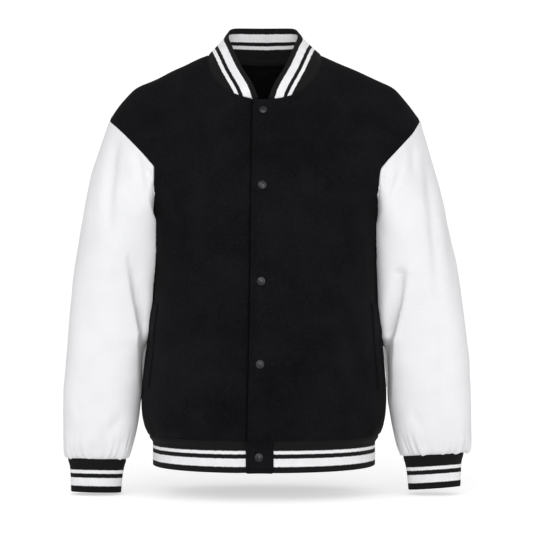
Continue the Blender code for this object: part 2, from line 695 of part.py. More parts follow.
def make_snaps(body, tab, parent):
    """Five caps down the closing line, the last on the hem tab."""
    mesh = snap_profile()
    front = body["front_left"][0]
    for number, z in enumerate(SNAP_HEIGHTS, 1):
        at, facing = spot(tab if z < HEM_SEAM_Z else front, float(closing_x(z)), z)
        cap = place(f"snap_{number}", mesh, GUNMETAL, parent)
        cap.location = at + SNAP_LIFT * facing
        cap.rotation_euler = (math.acos(facing[2]), 0, math.atan2(facing[1], facing[0]) + math.pi / 2)
        turn = cap.modifiers.new("turn", "SCREW")
        turn.steps = turn.render_steps = SNAP_STEPS
        turn.use_merge_vertices = True
        turn.merge_threshold = 1e-5
        turn.use_smooth_shade = True


def main():
    for old in list(bpy.data.objects):
        bpy.data.objects.remove(old)
    collection = bpy.data.collections.new("varsity_jacket")
    bpy.context.scene.collection.children.link(collection)
    hold = bpy.data.objects.new("wearer_hold", None)
    collection.objects.link(hold)
    body = make_body(hold)
    make_welts(body, hold)
    make_sleeves(body, hold)
    make_collar(body, hold)
    tab = make_hem(hold)
    make_snaps(body, tab, hold)


main()
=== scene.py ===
"""A varsity jacket, closed and filled out as it is worn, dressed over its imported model.

Metres, +Z up. The front faces -Y and +X is the wearer's left. Every piece of cloth is a wall worked out on
a grid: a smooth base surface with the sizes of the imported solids, then folds, seam furrows, gathers and knit
ribs added along its normals. Stitches, pressed rings and the turned snap caps are modelled as well.
"""

import logging
import math
from dataclasses import dataclass
from enum import Enum

import bpy
import numpy as np
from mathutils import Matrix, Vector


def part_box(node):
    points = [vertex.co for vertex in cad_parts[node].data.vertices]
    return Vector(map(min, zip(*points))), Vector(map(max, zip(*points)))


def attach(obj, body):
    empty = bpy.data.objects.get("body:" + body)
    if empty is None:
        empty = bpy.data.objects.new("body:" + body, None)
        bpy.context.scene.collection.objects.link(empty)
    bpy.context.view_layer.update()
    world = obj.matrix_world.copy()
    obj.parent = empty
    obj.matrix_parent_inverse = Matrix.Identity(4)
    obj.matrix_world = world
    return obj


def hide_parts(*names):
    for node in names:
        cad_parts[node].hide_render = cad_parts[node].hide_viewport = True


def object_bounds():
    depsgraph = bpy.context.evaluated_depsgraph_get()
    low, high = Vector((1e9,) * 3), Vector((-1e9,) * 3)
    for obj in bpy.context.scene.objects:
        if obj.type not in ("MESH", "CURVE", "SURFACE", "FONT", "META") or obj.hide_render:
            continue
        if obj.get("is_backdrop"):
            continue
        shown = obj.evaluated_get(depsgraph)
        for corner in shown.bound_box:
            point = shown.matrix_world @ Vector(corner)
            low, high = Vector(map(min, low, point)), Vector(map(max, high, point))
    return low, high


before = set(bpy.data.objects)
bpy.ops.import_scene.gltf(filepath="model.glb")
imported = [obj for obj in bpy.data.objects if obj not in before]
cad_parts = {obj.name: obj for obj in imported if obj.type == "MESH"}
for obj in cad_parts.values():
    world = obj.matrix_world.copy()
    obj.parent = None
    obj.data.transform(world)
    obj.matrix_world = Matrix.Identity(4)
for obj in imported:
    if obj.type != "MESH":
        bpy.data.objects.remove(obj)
CAD_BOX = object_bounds()
LOG = logging.getLogger("varsity_jacket")
ROOT = "root"

Array = np.ndarray
Socket = bpy.types.NodeSocket


class Side(Enum):
    """The wearer's two sides, with the sign of their x."""

    LEFT = 1
    RIGHT = -1

    @property
    def word(self) -> str:
        """The side's name as the nodes carry it."""
        return self.name.lower()


class Facing(Enum):
    """The two halves of the body, with the sign of their y."""

    FRONT = -1
    BACK = 1


class Hold(Enum):
    HUNG = "hung"
    FOLDED = "folded"
    STRETCHED = "stretched"


# ---------------------------------------------------------------- curves and grids


def smooth(at: Array, stops: Array, values: Array) -> Array:
    """Curve through (stops, values) that never swings past them: cubic pieces with harmonic mean slopes.

    Args:
        at: where the curve is read.
        stops: rising or falling places of the known values.
        values: the known values.

    Returns:
        The curve's value at each place.
    """
    at = np.asarray(at, float)
    stops, values = np.asarray(stops, float), np.asarray(values, float)
    if stops[0] > stops[-1]:
        stops, values = stops[::-1], values[::-1]
    step = np.diff(stops)
    rise = np.diff(values) / step
    slope = np.concatenate([rise[:1], np.zeros(len(rise) - 1), rise[-1:]])
    product = rise[1:] * rise[:-1]
    both = np.where(product > 0, rise[1:] + rise[:-1], 1.0)
    slope[1:-1] = np.where(product > 0, 2 * product / both, 0.0)
    place = np.clip(np.searchsorted(stops, at) - 1, 0, len(step) - 1)
    part = np.clip((at - stops[place]) / step[place], 0, 1)
    start = (1 + 2 * part) * (1 - part) ** 2 * values[place]
    end = part**2 * (3 - 2 * part) * values[place + 1]
    bend = part * (1 - part) ** 2 * slope[place] - part**2 * (1 - part) * slope[place + 1]
    return start + end + bend * step[place]


@dataclass(frozen=True)
class Sizes:
    """A written table of sizes with named columns, read between its rows as smooth curves."""

    columns: str
    rows: str

    def column(self, name: str) -> Array:
        """All values of a named column."""
        column = self.columns.split().index(name)
        return np.array([row.split()[column] for row in self.rows.strip().splitlines()], float)

    def at(self, place: Array, name: str, along: str = "z") -> Array:
        """A column's value where another column has the value place."""
        return smooth(place, self.column(along), self.column(name))

    def at_row(self, place: Array, name: str) -> Array:
        """A column's value at a row number, which may lie between rows."""
        values = self.column(name)
        return smooth(place, np.arange(len(values)), values)


def ease(part: Array) -> Array:
    """0 to 1 with a soft start and end: 3 p squared minus 2 p cubed."""
    part = np.clip(part, 0, 1)
    return part * part * (3 - 2 * part)


def bell(distance: Array, width: Array) -> Array:
    """1 at distance 0, falling off as exp of minus the square of distance over width."""
    return np.exp(-((distance / width) ** 2))


def lines_across(distance: Array, lines: tuple) -> Array:
    """Relief of narrow lines along an edge, each with its height, its distance from the edge and its width."""
    return sum(rise * bell(distance - place, width) for rise, place, width in lines)


def unit(vectors: Array) -> Array:
    """The vectors with length 1."""
    return vectors / np.maximum(np.linalg.norm(vectors, axis=-1, keepdims=True), 1e-12)


def crowded(count: int, pull: float = 0.75) -> Array:
    """count places from 0 to 1, closer together at both ends: t minus pull times sin(2 pi t) over 2 pi."""
    part = np.linspace(0, 1, count)
    return part - pull * np.sin(2 * math.pi * part) / (2 * math.pi)


def running_length(grid: Array, axis: int) -> Array:
    """Length along a grid's rows (axis 1) or columns (axis 0), from its first line to each point."""
    step = np.linalg.norm(np.diff(grid, axis=axis), axis=-1)
    zero = np.zeros_like(np.take(step, [0], axis=axis))
    return np.concatenate([zero, np.cumsum(step, axis=axis)], axis=axis)

def to_edges(grid: Array) -> tuple:
    """Running lengths from each point to a grid's first row, last row, first column and last column."""
    down, across = running_length(grid, 0), running_length(grid, 1)
    return down, down[-1:] - down, across, across[:, -1:] - across


def grid_normals(grid: Array, inside: Array, loop: bool = False) -> Array:
    """Unit normals of a grid, the cross product of its two directions, turned away from a point inside.

    Args:
        grid: points as rows by columns by 3.
        inside: a point, or a grid of points, on the inner side of the surface.
        loop: whether the last column joins the first.

    Returns:
        One unit vector for each point.
    """
    down = np.gradient(grid, axis=0)
    if loop:
        across = np.roll(grid, -1, axis=1) - np.roll(grid, 1, axis=1)
    else:
        across = np.gradient(grid, axis=1)
    found = np.cross(down, across)
    if np.sum(found * (grid - inside)) < 0:
        found = -found
    return unit(found)


def read_line(place: Array, places: Array, points: Array) -> Array:
    """Points of a line at a place, where its own points have known places."""
    return np.stack([np.interp(place, places, points[:, axis]) for axis in range(3)], -1)


def sample(grid: Array, row: Array, column: Array) -> Array:
    """Values of a grid at row and column numbers between its lines, blended from the four corners."""
    row = np.clip(row, 0, grid.shape[0] - 1.000001)
    column = np.clip(column, 0, grid.shape[1] - 1.000001)
    r, c = row.astype(int), column.astype(int)
    a, b = (row - r)[..., None], (column - c)[..., None]
    top = grid[r, c] * (1 - b) + grid[r, c + 1] * b
    low = grid[r + 1, c] * (1 - b) + grid[r + 1, c + 1] * b
    return top * (1 - a) + low * a


def half_round(distance: Array, radius: float) -> Array:
    """Share of a wall's half thickness near a free edge, which rounds it off as a half circle."""
    near = np.clip(distance / radius, 0.02, 1)
    return np.sqrt(1 - (1 - near) ** 2)


@dataclass(frozen=True)
class Ripple:
    """A seeded sum of sine waves, for cloth that is never quite even."""

    seed: int
    longest: float
    shortest: float
    waves: int = 9

    def along(self, place: Array) -> Array:
        """The ripple on a line: a sum of sines of mixed lengths, about -1 to 1."""
        chance = np.random.default_rng(self.seed)
        lengths = np.geomspace(self.longest, self.shortest, self.waves)
        phases = chance.uniform(0, 2 * math.pi, self.waves)
        total = sum(np.sin(2 * math.pi * place / size + phase) for size, phase in zip(lengths, phases))
        return total / math.sqrt(self.waves)

    def inside(self, points: Array) -> Array:
        """The ripple in space: a sum of plane waves in mixed directions, about -1 to 1."""
        chance = np.random.default_rng(self.seed)
        lengths = np.geomspace(self.longest, self.shortest, self.waves)
        ways = unit(chance.normal(size=(self.waves, 3)))
        phases = chance.uniform(0, 2 * math.pi, self.waves)
        turns = 2 * math.pi * (points @ ways.T) / lengths + phases
        return np.sin(turns).sum(-1) / math.sqrt(self.waves)


@dataclass(frozen=True)
class Crease:
    """A fold line: a trough along a bent line seen from the front or the back, with a soft roll beside it.

    The line is a quadratic curve through three (x, z) points. All sizes are in millimetres. Its depth rises
    over the share start of its length and falls over the share end. roll is the height of the raised cloth on
    the line's right, seen along it, and roll_left on its left. width_left is the trough's width on the left,
    where it isn't the same as on the right.
    """

    line: tuple
    width: float
    depth: float
    roll: float = 0.0
    roll_left: float = 0.0
    start: float = 0.5
    end: float = 0.5
    width_left: float = 0.0

    def height(self, x: Array, z: Array) -> Array:
        """Height that the fold adds at each point, in metres."""
        first, middle, last = (np.array(point, float) / 1000 for point in self.line)
        bend = 2 * middle - (first + last) / 2
        part = np.linspace(0, 1, 25)[:, None]
        path = (1 - part) ** 2 * first + 2 * part * (1 - part) * bend + part**2 * last
        nearest = np.full(x.shape, 1e9)
        side = np.zeros(x.shape)
        where = np.zeros(x.shape)
        for number in range(len(path) - 1):
            a, b = path[number], path[number + 1]
            run = b - a
            share = np.clip(((x - a[0]) * run[0] + (z - a[1]) * run[1]) / (run @ run), 0, 1)
            dx, dz = x - a[0] - share * run[0], z - a[1] - share * run[1]
            distance = np.hypot(dx, dz)
            closer = distance < nearest
            nearest = np.where(closer, distance, nearest)
            side = np.where(closer, np.sign(dx * run[1] - dz * run[0]), side)
            where = np.where(closer, (number + share) / (len(path) - 1), where)
        width, depth = np.where(side < 0, self.width_left or self.width, self.width) / 1000, self.depth / 1000
        fade = ease(where / max(self.start, 1e-3)) * ease((1 - where) / max(self.end, 1e-3))
        signed = nearest * side
        height = -depth * bell(nearest, width)
        height += self.roll / 1000 * bell(signed - 1.7 * width, 1.1 * width)
        height += self.roll_left / 1000 * bell(signed + 1.7 * width, 1.1 * width)
        return height * fade


def read_creases(text: str, sign: int = 1) -> tuple:
    """Creases written one to a line: the x and z of their three points, then their other values in order.

    Args:
        text: the written creases.
        sign: 1, or -1 to mirror them in x.

    Returns:
        The creases.
    """
    found = []
    for line in text.strip().splitlines():
        numbers = [float(word) for word in line.split()]
        points = tuple((sign * x, z) for x, z in zip(numbers[0:6:2], numbers[1:6:2]))
        found.append(Crease(points, *numbers[6:]))
    return tuple(found)


def fold_height(creases: tuple, points: Array) -> Array:
    """Sum of the heights of several creases at each point, seen from the front or the back."""
    heights = (crease.height(points[..., 0], points[..., 2]) for crease in creases)
    return sum(heights, np.zeros(points.shape[:-1]))


# ---------------------------------------------------------------- meshes


@dataclass
class Mesh:
    """Points, faces and the cloth's own coordinates at each face corner, ready to become a piece."""

    points: Array
    quads: Array
    corners: Array

    def triangles(self) -> tuple:
        """A corner of each quad, and the cross products of the edges of its two triangles."""
        a, b, c, d = (self.points[self.quads[:, corner]] for corner in range(4))
        return a, np.cross(b - a, c - a), np.cross(c - a, d - a)

    def facing_out(self) -> "Mesh":
        """The same mesh with its faces turned outwards, told by the sign of its volume."""
        a, first, second = self.triangles()
        if np.sum((first + second) * a) < 0:
            return Mesh(self.points, self.quads[:, ::-1], self.corners[:, ::-1])
        return self

    def half_surface(self) -> float:
        """Half the mesh's whole surface, in square metres."""
        return float(sum(np.linalg.norm(half, axis=1).sum() for half in self.triangles()[1:])) / 4

    def build(self, name: str, finish: bpy.types.Material, smooth_angle: float = 55.0) -> bpy.types.Object:
        """Makes the object, smooth shaded with sharp edges only past an angle.

        Args:
            name: the piece's name.
            finish: its material.
            smooth_angle: edges that turn by more degrees than this stay sharp.

        Returns:
            The new object, linked to the scene.
        """
        mesh = bpy.data.meshes.new(name)
        count = len(self.quads)
        mesh.vertices.add(len(self.points))
        mesh.vertices.foreach_set("co", np.ascontiguousarray(self.points, np.float32).ravel())
        mesh.loops.add(4 * count)
        mesh.loops.foreach_set("vertex_index", np.ascontiguousarray(self.quads, np.int32).ravel())
        mesh.polygons.add(count)
        mesh.polygons.foreach_set("loop_start", np.arange(0, 4 * count, 4, dtype=np.int32))
        layer = mesh.uv_layers.new(name="cloth")
        layer.data.foreach_set("uv", np.ascontiguousarray(self.corners, np.float32).ravel())
        mesh.update(calc_edges=True)
        mesh.shade_smooth()
        mesh.set_sharp_from_angle(angle=math.radians(smooth_angle))
        mesh.materials.append(finish)
        piece = bpy.data.objects.new(name, mesh)
        bpy.context.scene.collection.objects.link(piece)
        return piece


def ring_quads(rows: int, columns: int) -> Array:
    """Quads of a numbered grid of points whose last column joins its first."""
    number = np.arange(rows * columns).reshape(rows, columns)
    number = np.concatenate([number, number[:, :1]], 1)
    return np.stack([number[:-1, :-1], number[:-1, 1:], number[1:, 1:], number[1:, :-1]], -1).reshape(-1, 4)


def wall(outer: Array, inner: Array, cloth: Array, loop: bool = False) -> Mesh:
    """A closed wall between two grids that match, with a strip of quads at each open edge.

    Args:
        outer: outer points, rows by columns by 3.
        inner: inner points, in the same order.
        cloth: the cloth's own coordinates, rows by columns by 2, with one column more for a loop.
        loop: whether the last column joins the first.

    Returns:
        The mesh, with its faces turned outwards.
    """
    rows, columns = outer.shape[:2]
    number = np.arange(rows * columns).reshape(rows, columns)
    if loop:
        number = np.concatenate([number, number[:, :1]], axis=1)
    sides = (number, number + rows * columns)
    quads, corners = [], []

    def strip(*lines: tuple) -> None:
        """Adds quads between four lines of points, each given as a side and a slice."""
        quads.append(np.stack([sides[side][cut] for side, cut in lines], -1).reshape(-1, 4))
        corners.append(np.stack([cloth[cut] for _, cut in lines], -2).reshape(-1, 4, 2))

    here, on = slice(None, -1), slice(1, None)
    strip((0, (here, here)), (0, (here, on)), (0, (on, on)), (0, (on, here)))
    strip((1, (here, here)), (1, (on, here)), (1, (on, on)), (1, (here, on)))
    for row, first, second in ((0, 0, 1), (-1, 1, 0)):
        strip((first, (row, here)), (second, (row, here)), (second, (row, on)), (first, (row, on)))
    if not loop:
        for edge, first, second in ((0, 1, 0), (-1, 0, 1)):
            strip((first, (here, edge)), (second, (here, edge)), (second, (on, edge)), (first, (on, edge)))
    points = np.concatenate([outer.reshape(-1, 3), inner.reshape(-1, 3)])
    return Mesh(points, np.concatenate(quads), np.concatenate(corners)).facing_out()


def cloth_coordinates(grid: Array, loop: bool = False) -> Array:
    """The cloth's own coordinates in metres: the mean running length across and down the grid."""
    if loop:
        grid = np.concatenate([grid, grid[:, :1]], axis=1)
    across = running_length(grid, 1).mean(0)
    down = running_length(grid, 0).mean(1)
    return np.stack(np.broadcast_arrays(across[None, :], down[:, None]), -1)

# ---------------------------------------------------------------- cloth pieces


CLOTH = 0.0020
RIB = 0.0026
WALE = 0.0026
WALE_RELIEF = 0.00013
WALE_START = 0.002
PATCH_CROWDING = 0.85
SEAM_GAP = 0.0003
LAP_GAP = 0.0005
INNER_SHARE = 0.6
LEAST_Y = 0.00004
BAND_FURROW = 0.0010


@dataclass(frozen=True)
class Cut:
    """A cloth piece as it was cut, in metres: its node and slot, flat size and area, and how it is held."""

    node: str
    slot: str
    flat: tuple
    area: float
    held: Hold
    rests_on: tuple


def all_cuts() -> dict:
    """Every cloth piece's Cut, by the piece's name."""
    black, white, rib = "black_fleece", "white_fleece", "striped_rib"
    shoulders, panels = ("shoulder_seams", "collar"), ("left_front", "right_front", "back_panel")
    found = {
        "back_panel": Cut("back", black, (0.58, 0.68), 0.318, Hold.HUNG, shoulders),
        "neck_band": Cut("collar", rib, (0.47, 0.060), 0.0215, Hold.FOLDED, panels),
        "hem_band": Cut("hem_rib", rib, (1.02, 0.052), 0.0505, Hold.STRETCHED, panels),
    }
    for side, width in (("left", 0.0458), ("right", 0.0320)):
        front, sleeve = f"{side}_front", f"{side}_sleeve"
        found |= {
            front: Cut(f"front_{side}", black, (0.32, 0.66), 0.166, Hold.HUNG, shoulders),
            sleeve: Cut(f"sleeve_{side}", white, (0.50, 0.64), 0.235, Hold.HUNG, ("armhole",)),
            f"{side}_cuff": Cut(f"cuff_{side}", rib, (0.25, 0.055), 0.0128, Hold.STRETCHED, (sleeve,)),
            f"hem_end_{side}": Cut(
                f"hem_tab_{side}", black, (width, 0.051), 0.050 * width, Hold.FOLDED, (front, "hem_band")
            ),
            f"pocket_welt_{side}": Cut(f"welt_{side}", black, (0.0230, 0.138), 0.0031, Hold.FOLDED, (front,)),
        }
    return found


CUTS = all_cuts()


@dataclass
class Panel:
    """A finished cloth piece: its outer points and normals, which other pieces are laid on or sewn to."""

    outer: Array
    normals: Array

    def line(self, rows: Array, columns: Array) -> tuple:
        """Points and unit normals at row and column numbers, which may lie between the grid's lines."""
        return sample(self.outer, rows, columns), unit(sample(self.normals, rows, columns))


def declare(piece: bpy.types.Object, node: str = "") -> None:
    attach(piece, ROOT)
    if node:
        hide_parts(node)
    faces = sum(len(polygon.vertices) - 2 for polygon in piece.data.polygons)
    LOG.info("%s: %d triangles", piece.name, faces)


def sew(
    name: str,
    finish: bpy.types.Material,
    grid: Array,
    normals: Array,
    height: Array,
    inward: Array,
    thickness: float = CLOTH,
    taper: Array = 1.0,
    cloth: Array | None = None,
    loop: bool = False,
    facing: Facing | None = None,
) -> Panel:
    """Args:
        name: the piece's name in CUTS.
        finish: its material.
        grid: points of its smooth outer surface, rows by columns by 3.
        normals: the grid's unit normals.
        height: relief of the outer side.
        inward: how much further in the inner side stands than the thickness says.
        thickness: the wall's thickness.
        taper: share of the thickness at each point, which rounds the free edges.
        cloth: the cloth's own coordinates, where they aren't the grid's running lengths.
        loop: whether the last column joins the first.
        facing: the half of the body that the piece has to stay on.

    Returns:
        The outer points and the normals.
    """
    middle = grid - thickness / 2 * normals
    half = thickness / 2 * np.asarray(taper)
    outer = middle + (half + height)[..., None] * normals
    inner = middle - (half + inward)[..., None] * normals
    if facing is not None:
        for points in (outer, inner):
            points[..., 1] = facing.value * np.maximum(facing.value * points[..., 1], LEAST_Y)
    mesh = wall(outer, inner, cloth_coordinates(grid, loop) if cloth is None else cloth, loop)
    piece, cut = mesh.build(name, finish), CUTS[name]
    declare(piece, cut.node)
    LOG.info("  cloth area %.5f", mesh.half_surface())
    return Panel(outer, normals)


def seam_furrow(distance: Array, depth: float = 0.0008, width: float = 0.0022) -> Array:
    """Height near a sewn edge: the cloth is pulled down into the seam and rises to a faint roll beside it."""
    return -depth * bell(distance, width) + 0.25 * depth * bell(distance - 2.4 * width, 1.2 * width)


def gathered(distance: Array, reach: float, peak: float = 0.0, start: float = 0.004) -> Array:
    """Strength of gathers at a distance from the seam that draws them in, with none in the seam itself."""
    return bell(distance - peak, reach) * ease(distance / start)


def turned_in(distance: Array, depth: float = 0.0014, width: float = 0.0090) -> Array:
    """How far the inner side stands in beside a sewn edge, where the seam allowance is turned inwards."""
    return depth * (1 - ease((distance - 0.5 * width) / (0.5 * width)))


def edge_normals(points: Array, edges: list) -> Array:
    """Normals of the sewn edges nearest to each point, blended from the two nearest of their points.

    Args:
        points: points on a seam.
        edges: (points, normals) of each piece's edge along that seam.

    Returns:
        One unit vector for each point.
    """
    places = np.concatenate([edge[0] for edge in edges])
    found = np.concatenate([edge[1] for edge in edges])
    apart = np.linalg.norm(points[:, None] - places[None], axis=-1)
    two = np.argsort(apart, axis=1)[:, :2]
    weight = 1 / (np.take_along_axis(apart, two, 1) + 1e-6)
    return unit((found[two] * weight[..., None]).sum(1))


def join_normals(normals: Array, neighbour: Array, distance: Array, reach: float = 0.004) -> Array:
    """Normals that are the neighbour's at a seam and turn into a piece's own ones over a reach."""
    share = (1 - ease(distance / reach))[..., None]
    return unit(normals + share * (neighbour - normals))
def level(normals: Array, lean: float = 0.0) -> Array:
    """Unit normals with their z times a lean, for a band that hangs straight down."""
    return unit(normals * [1, 1, lean])


def wales(along: Array) -> Array:
    """Relief of a one by one rib at running lengths: a cosine of one wale's width."""
    return WALE_RELIEF * np.cos(2 * math.pi * along / WALE)


# ---------------------------------------------------------------- materials


class Graph:
    """A node tree with short calls for adding, setting and joining nodes."""

    def __init__(self, tree: bpy.types.NodeTree) -> None:
        """Keeps the tree that nodes are added to."""
        self.tree = tree

    def feed(self, node: bpy.types.Node, inputs: dict) -> bpy.types.Node:
        """Sets a node's inputs, by name or number, to values or joins them to sockets."""
        for name, value in inputs.items():
            if isinstance(value, Socket):
                self.tree.links.new(value, node.inputs[name])
            else:
                node.inputs[name].default_value = value
        return node

    def add(self, kind: str, inputs: dict | None = None, **settings) -> bpy.types.Node:
        """Adds a node.

        Args:
            kind: the node's type name after "ShaderNode", or "NodeGroupInput" and the like in full.
            inputs: values or sockets for its inputs, by name or number.
            settings: the node's own properties.

        Returns:
            The new node.
        """
        node = self.tree.nodes.new(kind if kind.startswith("NodeGroup") else f"ShaderNode{kind}")
        for name, value in settings.items():
            setattr(node, name, value)
        return self.feed(node, inputs or {})

    def place(self) -> Socket:
        """The object's own coordinates."""
        return self.add("TexCoord").outputs["Object"]

    def math(self, operation: str, first: object, second: object = 0.0, clamp: bool = False) -> Socket:
        """A Math node's result for two values or sockets."""
        return self.add("Math", {0: first, 1: second}, operation=operation, use_clamp=clamp).outputs[0]

    def weigh(self, *terms: tuple, plus: object = 0.0) -> Socket:
        """The sum of (socket, weight) products, and of one value or socket more."""
        for socket, weight in terms:
            plus = self.add("Math", {0: socket, 1: weight, 2: plus}, operation="MULTIPLY_ADD").outputs[0]
        return plus

    def mix(self, factor: object, first: object, second: object) -> Socket:
        """The colour between two colours or sockets."""
        return self.add("Mix", {0: factor, 6: first, 7: second}, data_type="RGBA").outputs[2]

    def ramp(self, value: Socket, low: float, high: float, start: float = 0.0, end: float = 1.0) -> Socket:
        """A value mapped smoothly from low and high to start and end."""
        inputs = {"Value": value, "From Min": low, "From Max": high, "To Min": start, "To Max": end}
        return self.add("MapRange", inputs, interpolation_type="SMOOTHSTEP").outputs[0]

    def noise(self, vector: Socket, scale: object, detail: float) -> Socket:
        """A Noise texture's value."""
        return self.add("TexNoise", {"Vector": vector, "Scale": scale, "Detail": detail}).outputs[0]

    def bump(self, height: Socket, strength: float, distance: float) -> Socket:
        """The normal bent by a height."""
        inputs = {"Height": height, "Strength": strength, "Distance": distance}
        return self.add("Bump", inputs).outputs[0]


def open_group(name: str, inputs: dict, outputs: tuple) -> tuple:
    """A new shader node group with named sockets.

    Args:
        name: the group's name.
        inputs: the value of each input by its name: None for a vector, a tuple for a colour, or a number.
        outputs: the name of each output. The one called Colour is a colour and the others are numbers.

    Returns:
        Its Graph, its input node's sockets, and its output node.
    """
    group = bpy.data.node_groups.new(name, "ShaderNodeTree")
    for label, value in inputs.items():
        kind = {type(None): "Vector", tuple: "Color", float: "Float"}[type(value)]
        socket = group.interface.new_socket(label, in_out="INPUT", socket_type=f"NodeSocket{kind}")
        if value is not None:
            socket.default_value = value
    for label in outputs:
        kind = "Color" if label == "Colour" else "Float"
        group.interface.new_socket(label, in_out="OUTPUT", socket_type=f"NodeSocket{kind}")
    graph = Graph(group)
    return graph, graph.add("NodeGroupInput").outputs, graph.add("NodeGroupOutput")


def nap_group() -> bpy.types.NodeTree:
    """Brushed fleece: short fibres, felted clumps and a soft mottle, as a colour, a roughness and a height.

    The fibres are noise drawn out along Z, the clumps are rounder noise about 3 mm across, and the mottle is
    noise 4 and 15 cm across that lightens and darkens the dye a little.
    """
    g, start, end = open_group(
        "cloth_nap",
        {"Vector": None, "Deep": (0, 0, 0, 1), "Pale": (1, 1, 1, 1), "Fibre": 900.0, "Clump": 300.0},
        ("Colour", "Roughness", "Height"),
    )
    place = start["Vector"]
    drawn = g.add("Mapping", {"Vector": place, "Scale": (1, 1, 0.42)}).outputs[0]
    fibre, clump = g.noise(drawn, start["Fibre"], 3.0), g.noise(place, start["Clump"], 2.0)
    mottle = g.weigh((g.noise(place, 26.0, 3.0), 0.4), (g.noise(place, 6.5, 2.0), 0.6))
    fine = g.weigh((fibre, 0.55), (clump, 0.45))
    shade = g.weigh((fine, 0.5), (mottle, 0.5))
    colour = g.mix(g.ramp(shade, 0.34, 0.66), start["Deep"], start["Pale"])
    g.feed(end, {"Colour": colour, "Roughness": g.ramp(fine, 0.3, 0.7, 0.96, 0.82), "Height": fine})
    return g.tree


def knit_group() -> bpy.types.NodeTree:
    """One by one rib knit on cloth coordinates in metres: wales across U, and stitches up V.

    A wale is a raised cosine of U over the pitch. The stitches are waves along V that slant one way on each
    half of a wale, which gives the small V shapes of knitting. Jog is how far a wale's colour edge is shifted.
    Painted Furrow Shade is 1 in the furrows between the wales: a mask for painted shade there.
    """
    g, start, end = open_group(
        "rib_knit", {"Vector": None, "Pitch": WALE, "Course": 0.0015}, ("Height", "Jog", "Furrow")
    )
    parts = g.add("SeparateXYZ", {0: start["Vector"]}).outputs
    across = g.math("DIVIDE", parts["X"], start["Pitch"])
    turn = g.math("MULTIPLY", across, 2 * math.pi)
    wale = g.weigh((g.math("COSINE", turn), 0.5), plus=0.5)
    half = g.math("ABSOLUTE", g.math("SINE", g.math("MULTIPLY", turn, 0.5)))
    slant = g.weigh((half, 0.55), plus=g.math("DIVIDE", parts["Y"], start["Course"]))
    stitch = g.weigh((g.math("SINE", g.math("MULTIPLY", slant, 2 * math.pi)), 0.5), plus=0.5)
    yarn = g.noise(start["Vector"], 2600.0, 2.0)
    chance = g.add("TexWhiteNoise", {"W": g.math("ROUND", across)}, noise_dimensions="1D").outputs[0]
    jog = g.weigh((wale, 0.0007), (g.math("SUBTRACT", chance, 1.2), 0.0005))
    height = g.weigh((wale, 0.45), (stitch, 0.30), (yarn, 0.25))
    # Painted shade mask: 1 in the furrows between the wales, where the band's colour is darkened to stand in
    # for shade.
    g.feed(end, {"Height": height, "Jog": jog, "Furrow": g.math("SUBTRACT", 1.0, wale)})
    return g.tree


def stripe_group() -> bpy.types.NodeTree:
    """Two light stripes on a dark band, by the distance from the band's folded edge.

    A stripe is 1 between two distances, with edges that soften over 0.3 mm and jog from wale to wale.
    """
    edges = dict.fromkeys(STRIPE_EDGES, 0.01)
    g, start, end = open_group("band_stripes", {"Distance": 0.0, "Jog": 0.0} | edges, ("Light",))
    place = g.math("ADD", start["Distance"], start["Jog"])

    def past(edge: str) -> Socket:
        """0 before an edge and 1 past it."""
        widths = g.math("DIVIDE", g.math("SUBTRACT", place, start[edge]), 0.0003)
        return g.math("ADD", widths, 0.5, clamp=True)

    steps = [past(edge) for edge in STRIPE_EDGES]
    wide, narrow = (g.math("SUBTRACT", steps[i], steps[i + 1], clamp=True) for i in (0, 2))
    g.feed(end, {"Light": g.math("MAXIMUM", wide, narrow)})
    return g.tree


def open_material(name: str) -> tuple:
    """A new material, its Graph and its Principled shader."""
    made = bpy.data.materials.new(name)
    made.use_nodes = True
    return made, Graph(made.node_tree), made.node_tree.nodes["Principled BSDF"]


def grey(value: float) -> tuple:
    """A colour of even strength."""
    return (value, value, value, 1.0)


STRIPE_EDGES = ("Wide Start", "Wide End", "Narrow Start", "Narrow End")


@dataclass(frozen=True)
class Fleece:
    """Brushed fleece of one dye, with a short nap."""

    name: str
    deep: tuple
    pale: tuple
    gloss: float
    sheen: float
    sheen_tint: tuple
    height: float
    fibre: float = 900.0
    clump: float = 300.0

    def make(self, nap_tree: bpy.types.NodeTree) -> bpy.types.Material:
        """The material: nap colour and roughness, a bump from the nap, and a soft sheen."""
        made, g, shader = open_material(self.name)
        inputs = {"Vector": g.place(), "Deep": self.deep, "Pale": self.pale}
        inputs |= {"Fibre": self.fibre, "Clump": self.clump}
        nap = g.add("Group", inputs, node_tree=nap_tree).outputs
        g.feed(shader, {
            "Base Color": nap["Colour"],
            "Roughness": nap["Roughness"],
            "Normal": g.bump(nap["Height"], 1.0, self.height),
            "Specular IOR Level": self.gloss,
            "Sheen Weight": self.sheen,
            "Sheen Roughness": 0.5,
            "Sheen Tint": self.sheen_tint,
        })
        return made


